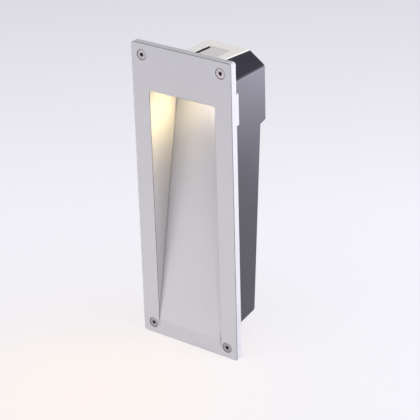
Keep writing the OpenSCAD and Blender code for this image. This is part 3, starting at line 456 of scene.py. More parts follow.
paints = {
    # On the coat the edge band, the corner band and the rings round the screws are painted shade
    "casting": finish("powderCoat", (0.462, 0.460, 0.484), 0.52, grain=1500.0, bump=0.22, tone=0.03,
        speckle=0.25, dust=0.03, edgeShade=0.85, screwShade=0.00478, cornerShade=0.45),
    "foam": finish("foamSeal", (0.030, 0.030, 0.032), 0.9, grain=700.0, bump=0.9, reach=0.0003, tone=0.2,
        speckle=0.15),
    # The dark sockets of the corner screws are painted shade
    "stainless": finish("stainlessScrew", (0.36, 0.35, 0.38), 0.38, metallic=1.0, grain=500.0, tone=0.05,
        brush=0.12, screwShade=0.0017),
    "housing": finish("blackMoulding", (0.0095, 0.0085, 0.018), 0.36, grain=1300.0, bump=0.10, tone=0.12,
        level=0.8, dust=0.008),
    "rubber": finish("blackRubber", (0.018, 0.018, 0.018), 0.72, bump=0.2, tone=0.15, dust=0.05),
    "glass": finish("frostedGlass", (0.96, 0.94, 0.88), 0.42, grain=1500.0, bump=0.12, tone=0.02, clear=0.35,
        glow=((1.0, 0.80, 0.50), 1.4)),
    "plate": finish("sheetAluminium", (0.74, 0.75, 0.76), 0.34, metallic=1.0, grain=400.0, bump=0.04,
        brush=0.16),
    "zinc": finish("zincPlate", (0.64, 0.66, 0.68), 0.36, metallic=1.0, grain=600.0, tone=0.08),
    "reflector": finish("whiteReflector", (0.90, 0.90, 0.88), 0.22, grain=700.0, bump=0.02, tone=0.01),
    "white_board": finish("whiteSolderMask", (0.84, 0.84, 0.82), 0.38, tone=0.02),
    "chips": finish("yellowPhosphor", (0.86, 0.66, 0.20), 0.42, grain=2500.0, bump=0.1, tone=0.05,
        glow=((1.0, 0.82, 0.52), 2.0)),
    "pad": finish("greyPad", (0.42, 0.39, 0.42), 0.8, bump=0.2),
    "driver_shell": finish("whiteCase", (0.74, 0.74, 0.71), 0.46, grain=1100.0, bump=0.12, tone=0.03,
        dust=0.06),
    "green_board": finish("greenSolderMask", (0.012, 0.105, 0.040), 0.34, grain=700.0, bump=0.06, tone=0.12),
    "winding": finish("windingTape", (0.62, 0.42, 0.05), 0.45, grain=700.0, bump=0.15, tone=0.1),
    "sleeve": finish("shrinkSleeve", (0.016, 0.026, 0.075), 0.32, grain=700.0, bump=0.04, tone=0.1),
    "terminal": finish("terminalMoulding", (0.78, 0.75, 0.66), 0.44, grain=1000.0, bump=0.1, tone=0.03,
        dust=0.05),
    "brass": finish("plainBrass", (0.66, 0.46, 0.17), 0.3, metallic=1.0, grain=500.0, tone=0.08, brush=0.12),
    "earth_sheath": finish("earthSheath", (0.09, 0.36, 0.03), 0.38, grain=600.0, bump=0.04,
        second=(0.80, 0.62, 0.03), secondAt=-0.0137),
    "mains_sheath": finish("mainsSheath", (0.115, 0.045, 0.018), 0.36, grain=600.0, bump=0.04,
        second=(0.018, 0.060, 0.30)),
    "led_sheath": finish("ledSheath", (0.36, 0.010, 0.008), 0.36, grain=600.0, bump=0.04,
        second=(0.012, 0.012, 0.012)),
    "cover": finish("creamMoulding", (0.800, 0.775, 0.740), 0.40, grain=1200.0, bump=0.08, tone=0.015,
        dust=0.05),
    "flap": finish("greyFlap", (0.650, 0.620, 0.615), 0.48, grain=1200.0, bump=0.10, tone=0.02, dust=0.05),
}
slotOf = {entry["node"]: entry["material_slot"] for entry in frame["record"]["subparts"]}
for nodeName, nodeObject in frame["nodes"].items():
    nodeObject.data.materials.clear()
    nodeObject.data.materials.append(paints[slotOf[nodeName]])
print("materials made")


# Front casting: faceplate, countersinks and the wedge-shaped recess, in one closed skin
casting = {
    "halfWidth": 50.0, "halfHeight": 135.0, "face": -10.0, "back": -3.0, "cornerRadius": 2.6,
    "edgeRadius": 0.7, "backEdge": 0.35, "sinkRadius": 4.65, "holeRadius": 2.3,
    "recessHalf": 33.0, "recessLow": -120.0, "recessTop": 95.0, "recessDepth": 39.4,
    "rimRadius": 0.55, "recessCorner": 1.8, "recessFillet": 0.5, "outerFillet": 1.5, "skin": 1.7,
    "ceiling": 3.0, "slotHalf": (18.48, 5.5), "slotY": 5.2, "slotCorner": 0.8, "slotEdge": 0.4,
    "lugWidth": 2.6, "lugLow": 80.0, "lugTop": 107.5, "lugCorner": 0.6, "rooted": 0.4, "postRadius": 4.0,
    "postHole": 2.1, "postEdge": 0.4, "postDeep": 10.3, "postRoot": 0.9, "bossHole": 1.35, "bossEdge": 0.2,
    "ceilingBosses": [(-22.48, 5.2, 2.2, 101.8), (22.48, 5.2, 2.2, 101.8), (-10.51, 24.6, 2.2, 100.0),
        (10.31, 24.6, 2.2, 100.0), (-19.01, 24.6, 2.6, 100.0)],
    "earZero": -75.0, "earUps": (-4.0, 88.0),
    "earBoss": [(0, -0.8), (3.6, -0.8), (3.6, 2.75), (3.35, 3.0), (1.6, 3.0), (1.6, -0.3), (0, -0.3)]}
slope = casting["recessDepth"]/(casting["recessTop"] - casting["recessLow"])
# At each housing screw: x, z, the end of the casting's post and the housing's rear face
posts = [(x, *place) for place in ((-102.5, 28.553, 35.9), (1.85, 36.542, 43.9), (106.2, 49.1, 56.0))
         for x in (-30.0, 30.0)]
# At each corner screw: x and z
sinks = [(x, z) for x in (-39.5, 39.5) for z in (-125.0, 125.0)]


def panelDepth(z, skin=0.0):
    # The sloping panel: depth grows evenly from the faceplate's face at the recess's foot
    return casting["face"] + slope*(z - casting["recessLow"]) + skin


def recessWalls(shell, half, top, skin, start, rim, corner, fillet):
    # A path up one side, round the top corner: at each of its points a profile runs from a rounded
    # rim along the wall and through a fillet onto the sloping panel. The other side is mirrored.
    low = casting["recessLow"] + (start - casting["face"] - skin)/slope
    steps = np.array([0, 1, 2, 3.5, 5, 7, 9.5, 12, 40, 80, 120])
    z = join([low + steps, [top - corner - 30, top - corner]])
    z = z[z <= top - corner]
    turn = np.linspace(0, math.pi/2, 9)[1:]
    nx = join([np.ones(len(z)), np.cos(turn)])[:, None]
    nz = join([np.zeros(len(z)), np.sin(turn)])[:, None]
    bx = join([np.full(len(z), half), half - corner + corner*np.cos(turn)])[:, None]
    bz = join([z, top - corner + corner*np.sin(turn)])[:, None]
    depth = np.maximum(panelDepth(bz, skin) - start, 0)
    e = np.minimum(rim, depth*0.3)
    r = np.minimum(fillet, depth*0.6)
    a = np.linspace(0, math.pi/2, 6)[None]
    out = join([e*(1 - np.sin(a)), -r*(1 - np.cos(a))], 1)
    x, zz = bx + nx*out, bz + nz*out
    onRim = start + e*(1 - np.cos(a)) + 0*x[:, :6]
    onFillet = panelDepth(zz[:, 6:], skin) - r*(1 - np.sin(a))
    right = np.stack([x, join([onRim, onFillet], 1), zz], -1)
    left = right*np.array([-1, 1, 1])
    both = np.stack([right[-1], left[-1]])
    for rings in (right, left, both[:, :6], both[:, 6:]):
        shell.grid(rings, around=False)
    shell.fill(join([right[:, -1], left[::-1, -1]]))
    ceiling = np.stack([right[-1, 5], left[-1, 5], left[-1, 6], right[-1, 6]])
    return ceiling, join([right[:, 0], left[::-1, 0]])


def addPlate(shell, v):
    # The faceplate's edge, rounded at the face, the recess's inside and outside, and the countersinks
    corners = box4(-v["halfWidth"], v["halfWidth"], -v["halfHeight"], v["halfHeight"])
    a = np.linspace(0, math.pi/2, 6)
    insets = join([[v["backEdge"], 0.0], v["edgeRadius"]*(1 - np.cos(a))])
    onEdge = v["face"] + v["edgeRadius"]*(1 - np.sin(a))
    depths = join([[v["back"], v["back"] - v["backEdge"]], onEdge])
    rings = [onY(roundOutline(insetCorners(corners, d), v["cornerRadius"] - d, 8), y)
             for d, y in zip(insets, depths)]
    shell.grid(rings)
    ceiling, opening = recessWalls(shell, v["recessHalf"], v["recessTop"], 0.0, v["face"], v["rimRadius"],
                                   v["recessCorner"], v["recessFillet"])
    outerTop, outline = recessWalls(shell, v["recessHalf"] + v["skin"], v["recessTop"] + v["ceiling"],
                                    v["skin"]*math.hypot(1, slope), v["back"], 0.0, v["recessCorner"] + 1,
                                    v["outerFillet"])
    r, hole = v["sinkRadius"], v["holeRadius"]
    steps = [(r + 0.2, 0), (r + 0.06, 0.06), (r, 0.2), (hole, 2.7), (hole, 7.0)]
    shell.fill(rings[-1], opening, *[onY(circle(x, z, r + 0.2), v["face"]) for x, z in sinks])
    shell.fill(rings[0], outline, *[onY(circle(x, z, hole), v["back"]) for x, z in sinks])
    for x, z in sinks:
        shell.grid([onY(circle(x, z, radius), v["face"] + d) for radius, d in steps])
    return ceiling, outerTop


def addBosses(shell, v):
    # Posts for the housing's screws, each with its threaded hole
    r, hole, e = v["postRadius"], v["postHole"], v["postEdge"]
    roof = v["recessTop"] + v["ceiling"]
    for x, z, end, _ in posts:
        start = v["back"] - v["rooted"]
        if z < roof:
            start = max(start, panelDepth(z, v["postRoot"]))
        post = [(0, start), (r, start), (r, end - e), (r - e, end), (hole + e, end), (hole, end - e),
                (hole, end - v["postDeep"]), (0, end - v["postDeep"] - 1)]
        shell.turned(post, along("+y", x, 0, z), 32)
    # Bosses on the ceiling for the window's frame, the terminal block and the earth screw
    base, hole, e = roof - v["rooted"], v["bossHole"], v["bossEdge"]
    for x, y, r, high in v["ceilingBosses"]:
        boss = [(0, base), (r, base), (r, high - e), (r - e, high), (hole, high), (hole, base + e),
                (0, base + e)]
        shell.turned(boss, along("+z", x, y, 0), 24)
    # Bosses square to the panel's back for the driver's ears: the axis leans down by the panel's slope
    lean = math.atan(slope)
    up = np.array([0, math.sin(lean), math.cos(lean)])
    square = np.array([up, (1, 0, 0), (0, math.cos(lean), -math.sin(lean))])
    zero = np.array([0, panelDepth(v["earZero"], v["skin"]*math.hypot(1, slope)), v["earZero"]])
    for distance in v["earUps"]:
        shell.turned(v["earBoss"], np.column_stack([square.T, zero + up*distance]), 32)


def makeCasting(v):
    # The plate with its recess, closed by the slot through the ceiling, then the lugs, posts and bosses
    shell = Surface()
    ceiling, outerTop = addPlate(shell, v)
    (halfX, halfY), y = v["slotHalf"], v["slotY"]
    slot = box4(-halfX, halfX, y - halfY, y + halfY)
    top, e = v["recessTop"], v["slotEdge"]
    walls = [level(roundOutline(insetCorners(slot, d), v["slotCorner"] - d), z)
             for z, d in ((top, -e), (top + e, 0.0), (top + v["ceiling"], 0.0))]
    shell.grid(walls)
    shell.fill(ceiling, walls[0])
    shell.fill(outerTop, walls[-1])
    # Lugs behind the side edges
    for side in (-1, 1):
        inner, outer = sorted((side*(v["halfWidth"] - v["lugWidth"]), side*v["halfWidth"]))
        lug = box4(inner, outer, v["lugLow"], v["lugTop"])
        bands = [onY(roundOutline(insetCorners(lug, d), v["lugCorner"] - d), y)
                 for d, y in ((0.0, v["back"] - v["rooted"]), (0.0, -0.3), (0.12, -0.1), (0.35, 0.0))]
        shell.closed(bands)
    addBosses(shell, v)
    return shell.mesh("frontCasting", smooth=30)


wear(makeCasting(casting), paints["casting"], "luminaire", "casting", "front_casting")
print("front casting made")


# Screws: a turned head with a six-lobed socket, and a thread on the shank
def lobedScrew(shell, place, v):
    # The head's top shrinks from a circle to a lobed outline r = a + b cos 6t, which sinks to the socket's
    # floor. The shank's radius falls in a wave that climbs by the pitch in one turn, and fades at both ends.
    t = np.linspace(0, 2*math.pi, 72, endpoint=False)
    socket = v["socket"]*(1 + 0.13*np.cos(6*t))
    deep = v["socketDepth"]
    start, end, pitch = v["thread"]
    steps = np.arange(start, end - pitch, pitch/8)
    wave = np.abs(((steps[:, None]/pitch - t/(2*math.pi)) % 1)*2 - 1)
    ramp = np.clip(np.minimum(steps - start, end - pitch - steps)/pitch, 0, 1)[:, None]
    rows = [(0.02, deep + 0.35), (socket, deep), (socket, 0.1), (socket*1.08, 0.0)]
    rows += v["head"][::-1] + v["under"]
    rows += zip(v["shank"] - v["cut"]*ramp*(1 - wave), steps)
    rows += [(v["shank"]*0.92, end - pitch), (v["shank"]*0.7, end), (0.02, end)]
    rings = np.stack([np.stack([r*np.cos(t), r*np.sin(t), h + 0*t], -1) for r, h in rows])
    shell.closed(rings @ place[:, :3].T + place[:, 3])


def makeScrews(name, v, places):
    # One screw in each place
    shell = Surface()
    for place in places:
        lobedScrew(shell, place, v)
    return shell.mesh(name, smooth=40)


cornerScrew = {
    "head": [(4.3, 0.28), (4.28, 0.12), (4.16, 0.03), (3.9, 0.0)], "socket": 1.5, "socketDepth": 1.6,
    "under": [(2.05, 2.5), (2.0, 2.7)], "thread": (3.0, 16.0, 0.7), "shank": 2.0, "cut": 0.28, "top": -9.8}
cornerPlaces = [along("+y", x, cornerScrew["top"], z) for x, z in sinks]
wear(makeScrews("cornerScrews", cornerScrew, cornerPlaces), paints["stainless"], "luminaire", "stainless",
     "corner_screws")

panScrew = {
    "head": [(3.5, 2.3), (3.5, 1.2), (3.3, 0.62), (2.8, 0.25), (2.0, 0.04)], "socket": 1.2,
    "socketDepth": 1.4, "under": [(3.4, 2.4), (2.0, 2.4)], "thread": (3.0, 16.4, 1.0), "shank": 2.0,
    "cut": 0.35, "aboveEnd": 6.4}
panPlaces = [along("-y", x, end + panScrew["aboveEnd"], z) for x, z, end, _ in posts]
wear(makeScrews("housingScrews", panScrew, panPlaces), paints["stainless"], "luminaire", "stainless",
     "housing_screws")
print("screws made")


# Rear housing: plan outlines with rounded rear corners, stacked from the foot to the sloping top
housing = {
    "front": -1.5, "half": 37.0, "shoulder": 110.2, "angle": 34.8, "top": 123.5, "tilt": 2.5, "drop": 1.1,
    "foot": -116.0, "footSlope": 0.15864, "heel": (35.3, -110.4), "under": (48.4, 60.7),
    "step": (56.0, 62.4), "wall": 2.0, "rearRadius": 0.8, "shoulderRadius": 3.6, "footRadius": 1.5,
    "heelRadius": 3.2, "stepRadius": 1.9, "underRadius": 1.4, "tub": (-12.9, 13.7, 14.3, 46.7),
    "boreRadius": 4.1, "boreEdge": 0.25, "bossRadius": 4.9, "holeRadius": 2.1, "seat": 3.0,
    "cable": (45.0, 87.0), "cableRadius": 7.0, "saddle": (-27.0, -20.0, 45.0, 54.4, 75.0, 99.0),
    "saddleEdge": 0.3, "grooveRadius": 4.0}


def roofHeight(y, drop=0.0):
    # The flat top falls backwards by its tilt, lowered by drop at right angles to it
    tilt = math.radians(housing["tilt"])
    return housing["top"] - math.tan(tilt)*y - drop/math.cos(tilt)


def housingSkin(shell, v, inset):
    # At each level an outline runs back along one side, round the rear and forward again. Its half
    # width follows the shoulders, its rear the heel and the step, and it tilts towards foot and top.
    angle = math.radians(v["angle"])
    sideFace = v["half"] - inset
    bendZ = v["shoulder"] - inset*math.tan((math.pi/2 - angle)/2)
    below, across, beyond = -200.0, 40.0, -100.0
    ridge = (sideFace - across, bendZ + across*math.tan(angle))
    facet = [(sideFace, below), (sideFace, bendZ), ridge, (beyond, 140.0), (beyond, below)]
    bend = roundOutline(facet, [1, max(v["shoulderRadius"] - inset, 1), 1, 1, 1], 8)[9:18]
    zs = join([[below], bend[:, 1], [ridge[1]]])
    xs = join([[sideFace], bend[:, 0], [ridge[0]]])
    # The side view's outline, moved inwards, with its front edge kept at the front
    front, stepY = v["front"], v["step"][0]
    footZ = v["foot"] + v["footSlope"]*front
    raw = [(front, footZ), v["heel"], v["under"], v["step"], (stepY, roofHeight(stepY, v["drop"])),
           (front, roofHeight(front, v["drop"]))]
    moved = insetCorners(raw, inset)
    moved[[0, 5], 0] = front
    footZ += inset*math.hypot(1, v["footSlope"])
    topZ = roofHeight(front, v["drop"] + inset)
    moved[[0, 5], 1] = footZ, topZ
    radii = [0.01, max(v["heelRadius"] - inset, 1), v["underRadius"] + inset*0.5,
             max(v["stepRadius"] - inset, 0.6), 0.01, 0.01]
    rear = roundOutline(moved, radii, 7)[8:32]
    # Each station is the outline's depth and height at the rear, its height at the front and how far its
    # sides stand in. The heel's carry the foot's rounding, and the shoulder adds its own above the step.
    rounding = max(v["footRadius"] - inset*0.5, 0.5)
    stations = [(y, z, footZ + rounding*(1 - math.cos(a)), rounding*(1 - math.sin(a)))
                for (y, z), a in zip(rear[:8], np.linspace(0, math.pi/2, 8))]
    stations += [(y, z, z, 0.0) for y, z in rear[8:]]
    rearY = stepY - inset
    stations += [(rearY, z, z, 0.0) for z in (*bend[:, 1], moved[4, 1] - 0.6)]
    stations += [(rearY, roofHeight(rearY, v["drop"] + inset), topZ, 0.0)]
    yr, zr, zf, s = (np.array(c)[:, None] for c in zip(*stations))
    rc = max(v["rearRadius"] - inset, 0.8)
    q = np.linspace(0, math.pi/2, 7)[None]
    runs = np.array([0.0, 0.35, 0.7])[None]
    y = join([front + (yr - rc - front)*runs, yr - rc*(1 - np.sin(q))], 1)
    inward = join([0*runs, rc*(1 - np.cos(q))], 1)
    z = zf + (zr - zf)*(y - front)/(yr - front)
    x = np.interp(z, zs, xs) - s - inward
    right = np.stack([x, y, z], -1)
    rings = join([right, (right*np.array([-1, 1, 1]))[:, ::-1]], 1)
    shell.grid(rings, around=False)
    return rings


def housingCutter(v):
    # Counterbores for the housing's screws and the round hole for the cable entry
    cut = Surface()
    r, e = v["boreRadius"], v["boreEdge"]
    for x, z, _, rear in posts:
        profile = [(0, rear - 5), (r, rear - 5), (r, rear - e), (r + 2*e, rear + e), (r + 2*e, rear + 3),
                   (0, rear + 3)]
        cut.turned(profile, along("+y", x, 0, z), 40)
    r = v["cableRadius"]
    cut.turned([(0, 30), (r, 30), (r, 40), (0, 40)], along("-x", 0, *v["cable"]), 48)
    return cut.mesh("cutter")


def housingInside(v):
    # Bosses round the counterbores, down to the seats of the screws, and a saddle with a half-round groove,
    # on which the clamp presses the cable: y and z are those of its middle plus r sin t and r cos t
    inside = Surface()
    bore, boss, hole = v["boreRadius"], v["bossRadius"], v["holeRadius"]
    for x, z, end, rear in posts:
        root, seat = rear - v["wall"] + 0.6, end + v["seat"]
        profile = [(hole, end), (boss, end), (boss, root), (bore, root), (bore, seat), (hole, seat)]
        profile += profile[:1]
        inside.turned(profile, along("+y", x, 0, z), 40)
    x0, x1, y0, y1, z0, z1 = v["saddle"]
    e, r = v["saddleEdge"], v["grooveRadius"]
    t = np.linspace(math.pi, 0, 17)
    groove = np.stack([y0 + r*np.sin(t), (z0 + z1)/2 + r*np.cos(t)], 1)
    above = [(y0, z1 - e), (y0 + e, z1), (y1, z1), (y1, z0)]
    outline = join([[(y0 + e, z0), (y0, z0 + e)], groove, above])
    inside.closed([np.column_stack([np.full(len(outline), x), outline]) for x in (x0, x1)])
    return inside.mesh("saddle")


def makeHousing(v):
    # An outer and an inner skin joined at the front rim and round the opening for the cover's tub, less the
    # cutter, with the parts inside added
    shell = Surface()
    outer = housingSkin(shell, v, 0.0)
    inner = housingSkin(shell, v, v["wall"])
    shell.fill(*[join([rings[:, 0], rings[::-1, -1]]) for rings in (outer, inner)])
    shell.fill(outer[0])
    shell.fill(inner[0])
    hole = roundOutline(box4(*v["tub"]), 0.5, 4)
    edges = [np.column_stack([hole, roofHeight(hole[:, 1], v["drop"] + d)]) for d in (0.0, v["wall"])]
    shell.fill(outer[-1], edges[0])
    shell.fill(inner[-1], edges[1])
    shell.grid(edges)
    body = shell.mesh("rearHousing", smooth=30)
    tool = housingCutter(v)
    chop = body.modifiers.new("holes", "BOOLEAN")
    chop.object, chop.operation, chop.solver = tool, "DIFFERENCE", "EXACT"
    body.modifiers.move(len(body.modifiers) - 1, 0)
    bpy.context.view_layer.update()
    body.modifiers["flatShade"].show_viewport = False
    whole = bpy.data.meshes.new_from_object(body.evaluated_get(bpy.context.evaluated_depsgraph_get()))
    inside = housingInside(v)
    bm = bmesh.new()
    bm.from_mesh(whole)
    bm.from_mesh(inside.data)
    bm.to_mesh(whole)
    bm.free()
    for extra in (body, tool, inside):
        bpy.data.objects.remove(extra, do_unlink=True)
    return finished("rearHousing", whole, 30)


wear(makeHousing(housing), paints["housing"], "luminaire", "housing", "rear_housing")
print("rear housing made")


# Top cover with its pocket and tub, and the flap: worked out on the level, then laid on the sloping top
cover = {
    "front": -2.7, "rear": 56.0, "thickness": 0.7, "edge": 0.25, "pocket": (-10.6, 11.4, 17.6, 43.4),
    "floor": -4.4, "tubLow": -5.9, "hole": (-6.8, 6.6, 19.2, 41.8), "tub": (-12.6, 13.4, 14.6, 46.4),
    "corners": (0.6, 0.6, 1.0, 1.0), "boxCorner": 0.7}


def onRoof(points):
    # The level top tilts back about its front edge and rises to its height
    tilt = math.radians(housing["tilt"])
    x, y, z = np.moveaxis(np.asarray(points, float), -1, 0)
    return np.stack([x, y*math.cos(tilt) + z*math.sin(tilt),
                     housing["top"] - y*math.sin(tilt) + z*math.cos(tilt)], -1)


def makeCover(v):
    # The outer edge follows the shoulders' slope; the pocket and the tub are nested boxes
    shell = Surface()
    run = 1/math.tan(math.radians(housing["angle"]))

    def edge(z, inset):
        # Half the width at depth y is the housing's, less the height over the shoulder times its run
        y = np.array([v["front"], v["front"], v["rear"], v["rear"]])
        x = (housing["half"] - (roofHeight(y) + z - housing["shoulder"])*run)*[-1, 1, 1, -1]
        corners = np.stack([x, y], 1)
        return level(roundOutline(insetCorners(corners, inset), v["corners"], 8), z)

    def loop(name, z, grow=0.0):
        # The named box with rounded corners, grown outwards
        return level(roundOutline(insetCorners(box4(*v[name]), -grow), v["boxCorner"] + grow, 6), z)

    e = v["edge"]
    rings = [edge(-v["thickness"], 0), edge(-e, 0), edge(-0.3*e, 0.3*e), edge(0, e*1.2)]
    pocket = [loop("pocket", 0, 0.3), loop("pocket", -0.09, 0.09), loop("pocket", -0.3),
              loop("pocket", v["floor"])]
    hole = [loop("hole", v["floor"]), loop("hole", v["tubLow"])]
    tub = [loop("tub", v["tubLow"]), loop("tub", -v["thickness"])]
    for part in (rings, pocket, hole, tub):
        shell.grid(onRoof(part))
    for pair in ((rings[-1], pocket[0]), (pocket[-1], hole[0]), (tub[0], hole[-1]), (rings[0], tub[-1])):
        shell.fill(*[onRoof(p) for p in pair])
    return shell.mesh("topCover")


wear(makeCover(cover), paints["cover"], "luminaire", "cover", "top_cover")

flapValues = {
    "left": -8.0, "hinge": (9.4, -2.2), "knuckle": 1.6, "front": 18.0, "rear": 43.0, "top": -0.6,
    "under": -2.6, "edge": 0.35, "leftRadii": (0.4, 0.6)}


def makeFlap(v):
    # One profile, plate and hinge barrel together, carried along the hinge and drawn in at both ends
    hx, hz = v["hinge"]
    r = v["knuckle"]
    meet = math.asin((v["under"] - hz)/r)
    t = np.linspace(math.pi/2, -math.pi - meet, 22)
    barrel = np.stack([hx + r*np.cos(t), hz + r*np.sin(t)], 1)
    plate = [(hx, v["under"]), (v["left"], v["under"]), (v["left"], v["top"]), (hx, v["top"])]
    left = roundOutline(plate, [0.01, *v["leftRadii"], 0.01], 5)[6:18]
    profile = join([barrel, left])
    centre = np.array([(v["left"] + hx)/2, (v["top"] + v["under"])/2])
    a = np.linspace(0, math.pi/2, 4)
    e = v["edge"]
    ends = join([v["front"] + e*(1 - np.cos(a)), v["rear"] - e*(1 - np.cos(a[::-1]))])
    draw = join([e*(1 - np.sin(a)), e*(1 - np.sin(a[::-1]))])
    size = np.array([(hx + r - v["left"])/2, (v["top"] - v["under"])/2 + 0.4])
    shell = Surface()
    shell.closed(onRoof([onY(centre + (profile - centre)*(1 - d/size), y) for y, d in zip(ends, draw)]))
    return shell.mesh("terminalFlap", smooth=40)


wear(makeFlap(flapValues), paints["flap"], "flap", "flap", "terminal_flap")
print("cover and flap made")


# Cable entry: a turned rubber ring with a rounded flange, a throat that narrows and a lip inside
grommet = [(4.0, 37.6), (4.5, 38.3), (5.6, 38.75), (7.2, 38.95), (8.3, 38.9), (8.8, 38.6), (9.0, 38.0),
           (9.0, 37.4), (8.85, 37.0), (6.9, 37.0), (6.9, 35.0), (8.0, 35.0), (8.2, 34.7), (8.0, 33.9),
           (7.0, 33.1), (6.2, 33.0), (4.4, 33.0), (4.0, 33.4), (4.0, 37.6)]
shell = Surface()
shell.turned(grommet, along("-x", 0, *housing["cable"]), 64)
wear(shell.mesh("cableGrommet", smooth=50), paints["rubber"], "luminaire", "rubber", "cable_grommet")


# Smaller CAD pieces keep their shape and get softened edges
def softened(node, name, width, smooth=35):
    # A merged copy of the node, flat faces joined, with a narrow bevel
    data = frame["nodes"][node].data.copy()
    bm = bmesh.new()
    bm.from_mesh(data)
    bmesh.ops.remove_doubles(bm, verts=bm.verts, dist=1e-6)
    bmesh.ops.dissolve_limit(bm, angle_limit=math.radians(1), verts=bm.verts, edges=bm.edges)
    bm.to_mesh(data)
    bm.free()
    return wear(finished(name, data, smooth, width), paints[slotOf[node]], "luminaire", slotOf[node], node)


def markCores(data):
    # Points joined by edges take the lowest number among them, until each wire has one number. The core
    # is 1 on a wire whose mean x is above the mean of all wires, and 0 on the others.
    place = np.empty(len(data.vertices)*3)
    data.vertices.foreach_get("co", place)
    x = place[::3]
    ends = np.empty(len(data.edges)*2, int)
    data.edges.foreach_get("vertices", ends)
    ends = ends.reshape(-1, 2)
    wire = np.arange(len(x))
    while (wire[ends[:, 0]] != wire[ends[:, 1]]).any():
        low = wire[ends].min(1)
        np.minimum.at(wire, ends[:, 0], low)
        np.minimum.at(wire, ends[:, 1], low)
    mean = np.bincount(wire, x)/np.maximum(np.bincount(wire), 1)
    core = data.attributes.new("core", "FLOAT", "POINT")
    core.data.foreach_set("value", (mean[wire] > mean[np.unique(wire)].mean()).astype(float))


softened("wall_seal", "wallSeal", 0.5)
for node, name in (("mains_wires", "mainsWires"), ("led_wires", "ledWires")):
    markCores(softened(node, name, 0, smooth=60).data)
softened("terminal_block", "terminalBlock", 0.25)
print("small pieces made")


# Floor, light and background
studio = {
    "floorZ": -0.135, "floorColor": (0.80, 0.80, 0.83), "share": 0.85, "middle": (0.91, 0.905, 0.955),
    "far": (0.745, 0.74, 0.80), "farFrom": 0.25, "farTo": 0.95, "away": (-0.601, 0.799),
    # The warm colour, with its place and reach, is a painted pool of light from the luminaire
    "litPoolColor": (1.0, 0.915, 0.86), "litPoolAt": (-0.02, -0.12), "litPoolReach": 0.14, "rim": (0.752, 0.752, 0.807),
    "rimFrom": 1.2, "rimTo": 2.4, "worldColor": (0.90, 0.92, 1.0), "worldLevel": 0.62, "worldDark": 0.05,
    "worldFrom": 0.45, "worldTo": 0.95, "worldLean": 0.6}


def floorPaint(v):
    # To the camera and in reflections the floor glows in its own colours, and to other light it is a pale
    # matt surface. The colour goes from middle to far along the view, a painted falloff of light, with a
    # painted pool of warm light from the luminaire that falls off as e to the power of minus (distance /
    # reach) squared.
    # Far out the camera sees the colour of the sky.
    material = bpy.data.materials.new("paleFloor")
    material.use_nodes = True
    tree = material.node_tree
    shader = tree.nodes["Principled BSDF"]
    values = {"Base Color": (*v["floorColor"], 1.0), "Roughness": 0.7, "Specular IOR Level": 0.1}
    for label, value in values.items():
        feed(tree, shader.inputs[label], value)
    ray = tree.nodes.new("ShaderNodeLightPath").outputs
    mirrored = mathNode(tree, "MAXIMUM", ray["Is Glossy Ray"], ray["Is Transmission Ray"])
    seen = mathNode(tree, "MAXIMUM", ray["Is Camera Ray"], mirrored)
    at = splitXYZ(tree, tree.nodes.new("ShaderNodeTexCoord").outputs["Object"])
    # Painted falloff of light: the floor darkens from middle to far along the view
    deep = mathNode(tree, "ADD", product(tree, at["X"], v["away"][0]), product(tree, at["Y"], v["away"][1]))
    fall = rise(tree, deep, v["farFrom"], 1/(v["farTo"] - v["farFrom"]))
    shade = mixColor(tree, fall, (*v["middle"], 1.0), (*v["far"], 1.0))
    # A painted pool of warm light from the luminaire on the floor in front of it
    dx = mathNode(tree, "SUBTRACT", at["X"], v["litPoolAt"][0])
    dy = mathNode(tree, "SUBTRACT", at["Y"], v["litPoolAt"][1])
    litPoolMask = mathNode(tree, "EXPONENT", product(tree, squareSum(tree, dx, dy), -1/v["litPoolReach"]**2))
    outward = mathNode(tree, "SQRT", squareSum(tree, at["X"], at["Y"]))
    out = rise(tree, outward, v["rimFrom"], 1/(v["rimTo"] - v["rimFrom"]))
    rim = product(tree, out, ray["Is Camera Ray"])
    glow = tree.nodes.new("ShaderNodeEmission")
    shade = stained(tree, shade, litPoolMask, 1.0, v["litPoolColor"])
    feed(tree, glow.inputs["Color"], stained(tree, shade, rim, 1.0, v["rim"]))
    share = mathNode(tree, "ADD", product(tree, rim, 1 - v["share"]), v["share"])
    mix = tree.nodes.new("ShaderNodeMixShader")
    for number, value in enumerate((product(tree, seen, share), shader.outputs[0], glow.outputs[0])):
        tree.links.new(value, mix.inputs[number])
    tree.links.new(mix.outputs[0], tree.nodes["Material Output"].inputs["Surface"])
    return material


def makeFloor(v):
    # A wide level sheet that curves up far behind: depth and height follow a quarter circle
    across = np.linspace(-4, 4, 9)
    a = np.linspace(0, math.pi/2, 12)[1:]
    depths = join([np.linspace(-4, 3, 8), 3 + 2*np.sin(a), [5.0]])
    heights = v["floorZ"] + join([np.zeros(8), 2*(1 - np.cos(a)), [4.0]])
    rings = np.stack([np.stack([across, 0*across + y, 0*across + z], 1) for y, z in zip(depths, heights)])
    shell = Surface()
    shell.grid(rings/mm, around=False)
    floor = shell.mesh("floor", smooth=60)
    if floor.data.polygons[0].normal.z < 0:
        floor.data.flip_normals()
    floor.data.materials.clear()
    floor.data.materials.append(floorPaint(v))


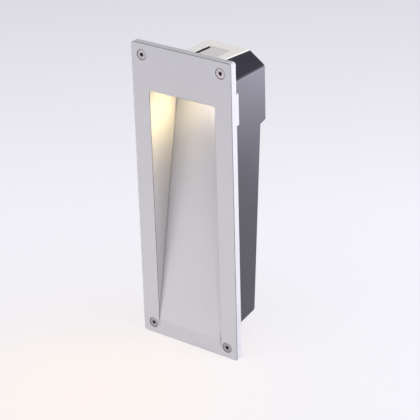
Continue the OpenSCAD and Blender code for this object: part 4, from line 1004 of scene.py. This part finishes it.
def makeWorld(v):
    # The sky is pale in front and near the horizon, and dark above and behind: it falls with z + 0.6 y.
    # The camera sees one plain colour instead.
    world = bpy.data.worlds.new("studio")
    scene.world = world
    world.use_nodes = True
    tree = world.node_tree
    back = tree.nodes["Background"]
    at = splitXYZ(tree, tree.nodes.new("ShaderNodeTexCoord").outputs["Generated"])
    ramp = tree.nodes.new("ShaderNodeValToRGB")
    pale, dark = ramp.color_ramp.elements
    pale.position, dark.position = v["worldFrom"], v["worldTo"]
    pale.color = (*v["worldColor"], 1.0)
    dark.color = tuple(c*v["worldDark"] for c in v["worldColor"]) + (1.0,)
    feed(tree, ramp.inputs[0], mathNode(tree, "ADD", at["Z"], product(tree, at["Y"], v["worldLean"])))
    camera = tree.nodes.new("ShaderNodeLightPath").outputs["Is Camera Ray"]
    feed(tree, back.inputs["Color"], mixColor(tree, camera, ramp.outputs[0], (*v["rim"], 1.0)))
    strength = mathNode(tree, "ADD", product(tree, camera, 1 - v["worldLevel"]), v["worldLevel"])
    feed(tree, back.inputs["Strength"], strength)


def softLamp(name, place, towards, size, power, color, spread=180):
    # A square lamp that looks from its place towards a point, unseen by the camera
    data = bpy.data.lights.new(name, "AREA")
    data.shape, data.size, data.size_y, data.energy, data.color = "RECTANGLE", size[0], size[1], power, color
    data.spread = math.radians(spread)
    lamp = bpy.data.objects.new(name, data)
    lamp.rotation_euler = (Vector(towards) - Vector(place)).to_track_quat("-Z", "Y").to_euler()
    lamp.location = place
    lamp.visible_camera = False
    scene.collection.objects.link(lamp)


# Each lamp's place, the point it looks at, its size, power, colour and spread
lamps = {
    "rightSoftbox": ((1.5, 0.35, 0.6), (0, 0, 0), (1.4, 1.4), 25.5, (1.0, 1.0, 1.0)),
    "leftFill": ((-0.70, -0.80, 0.10), (0, 0, 0), (0.6, 0.6), 0.545, (1.0, 1.0, 1.0), 120),
    "frontFill": ((-0.7, -1.8, 0.9), (0, 0, 0), (1.6, 1.2), 7.0, (0.97, 0.99, 1.0)),
    "rightFill": ((1.0, -0.9, 0.1), (0, 0, 0), (0.5, 0.5), 0.955, (1.0, 0.90, 0.86), 120),
    "topFill": ((0.2, -0.3, 1.6), (0, 0, 0), (1.0, 0.8), 10.5, (1.0, 0.98, 0.96)),
    "lowReflector": ((0.34, 0.44, 0.0), (0.03, 0.03, 0.0), (0.5, 0.26), 0.73, (0.84, 0.82, 1.0), 110),
    "frontGlow": ((-0.20, -0.50, -0.11), (0, 0, -0.08), (0.3, 0.04), 0.194, (1.0, 0.84, 0.74), 100),
    "recessLight": ((0.004, 0.019, 0.0925), (-0.656, -0.50, -0.600), (0.006, 0.006), 0.0235,
                    (1.0, 0.80, 0.38), 100),
    "recessBack": ((0.008, 0.004, 0.0925), (0.308, 0.754, -0.1075), (0.012, 0.004), 0.013,
                   (1.0, 0.86, 0.68), 130),
}
makeFloor(studio)
makeWorld(studio)
for lampName, lampValues in lamps.items():
    softLamp(lampName, *lampValues)
scene.view_settings.view_transform = "Standard"
print("studio made")
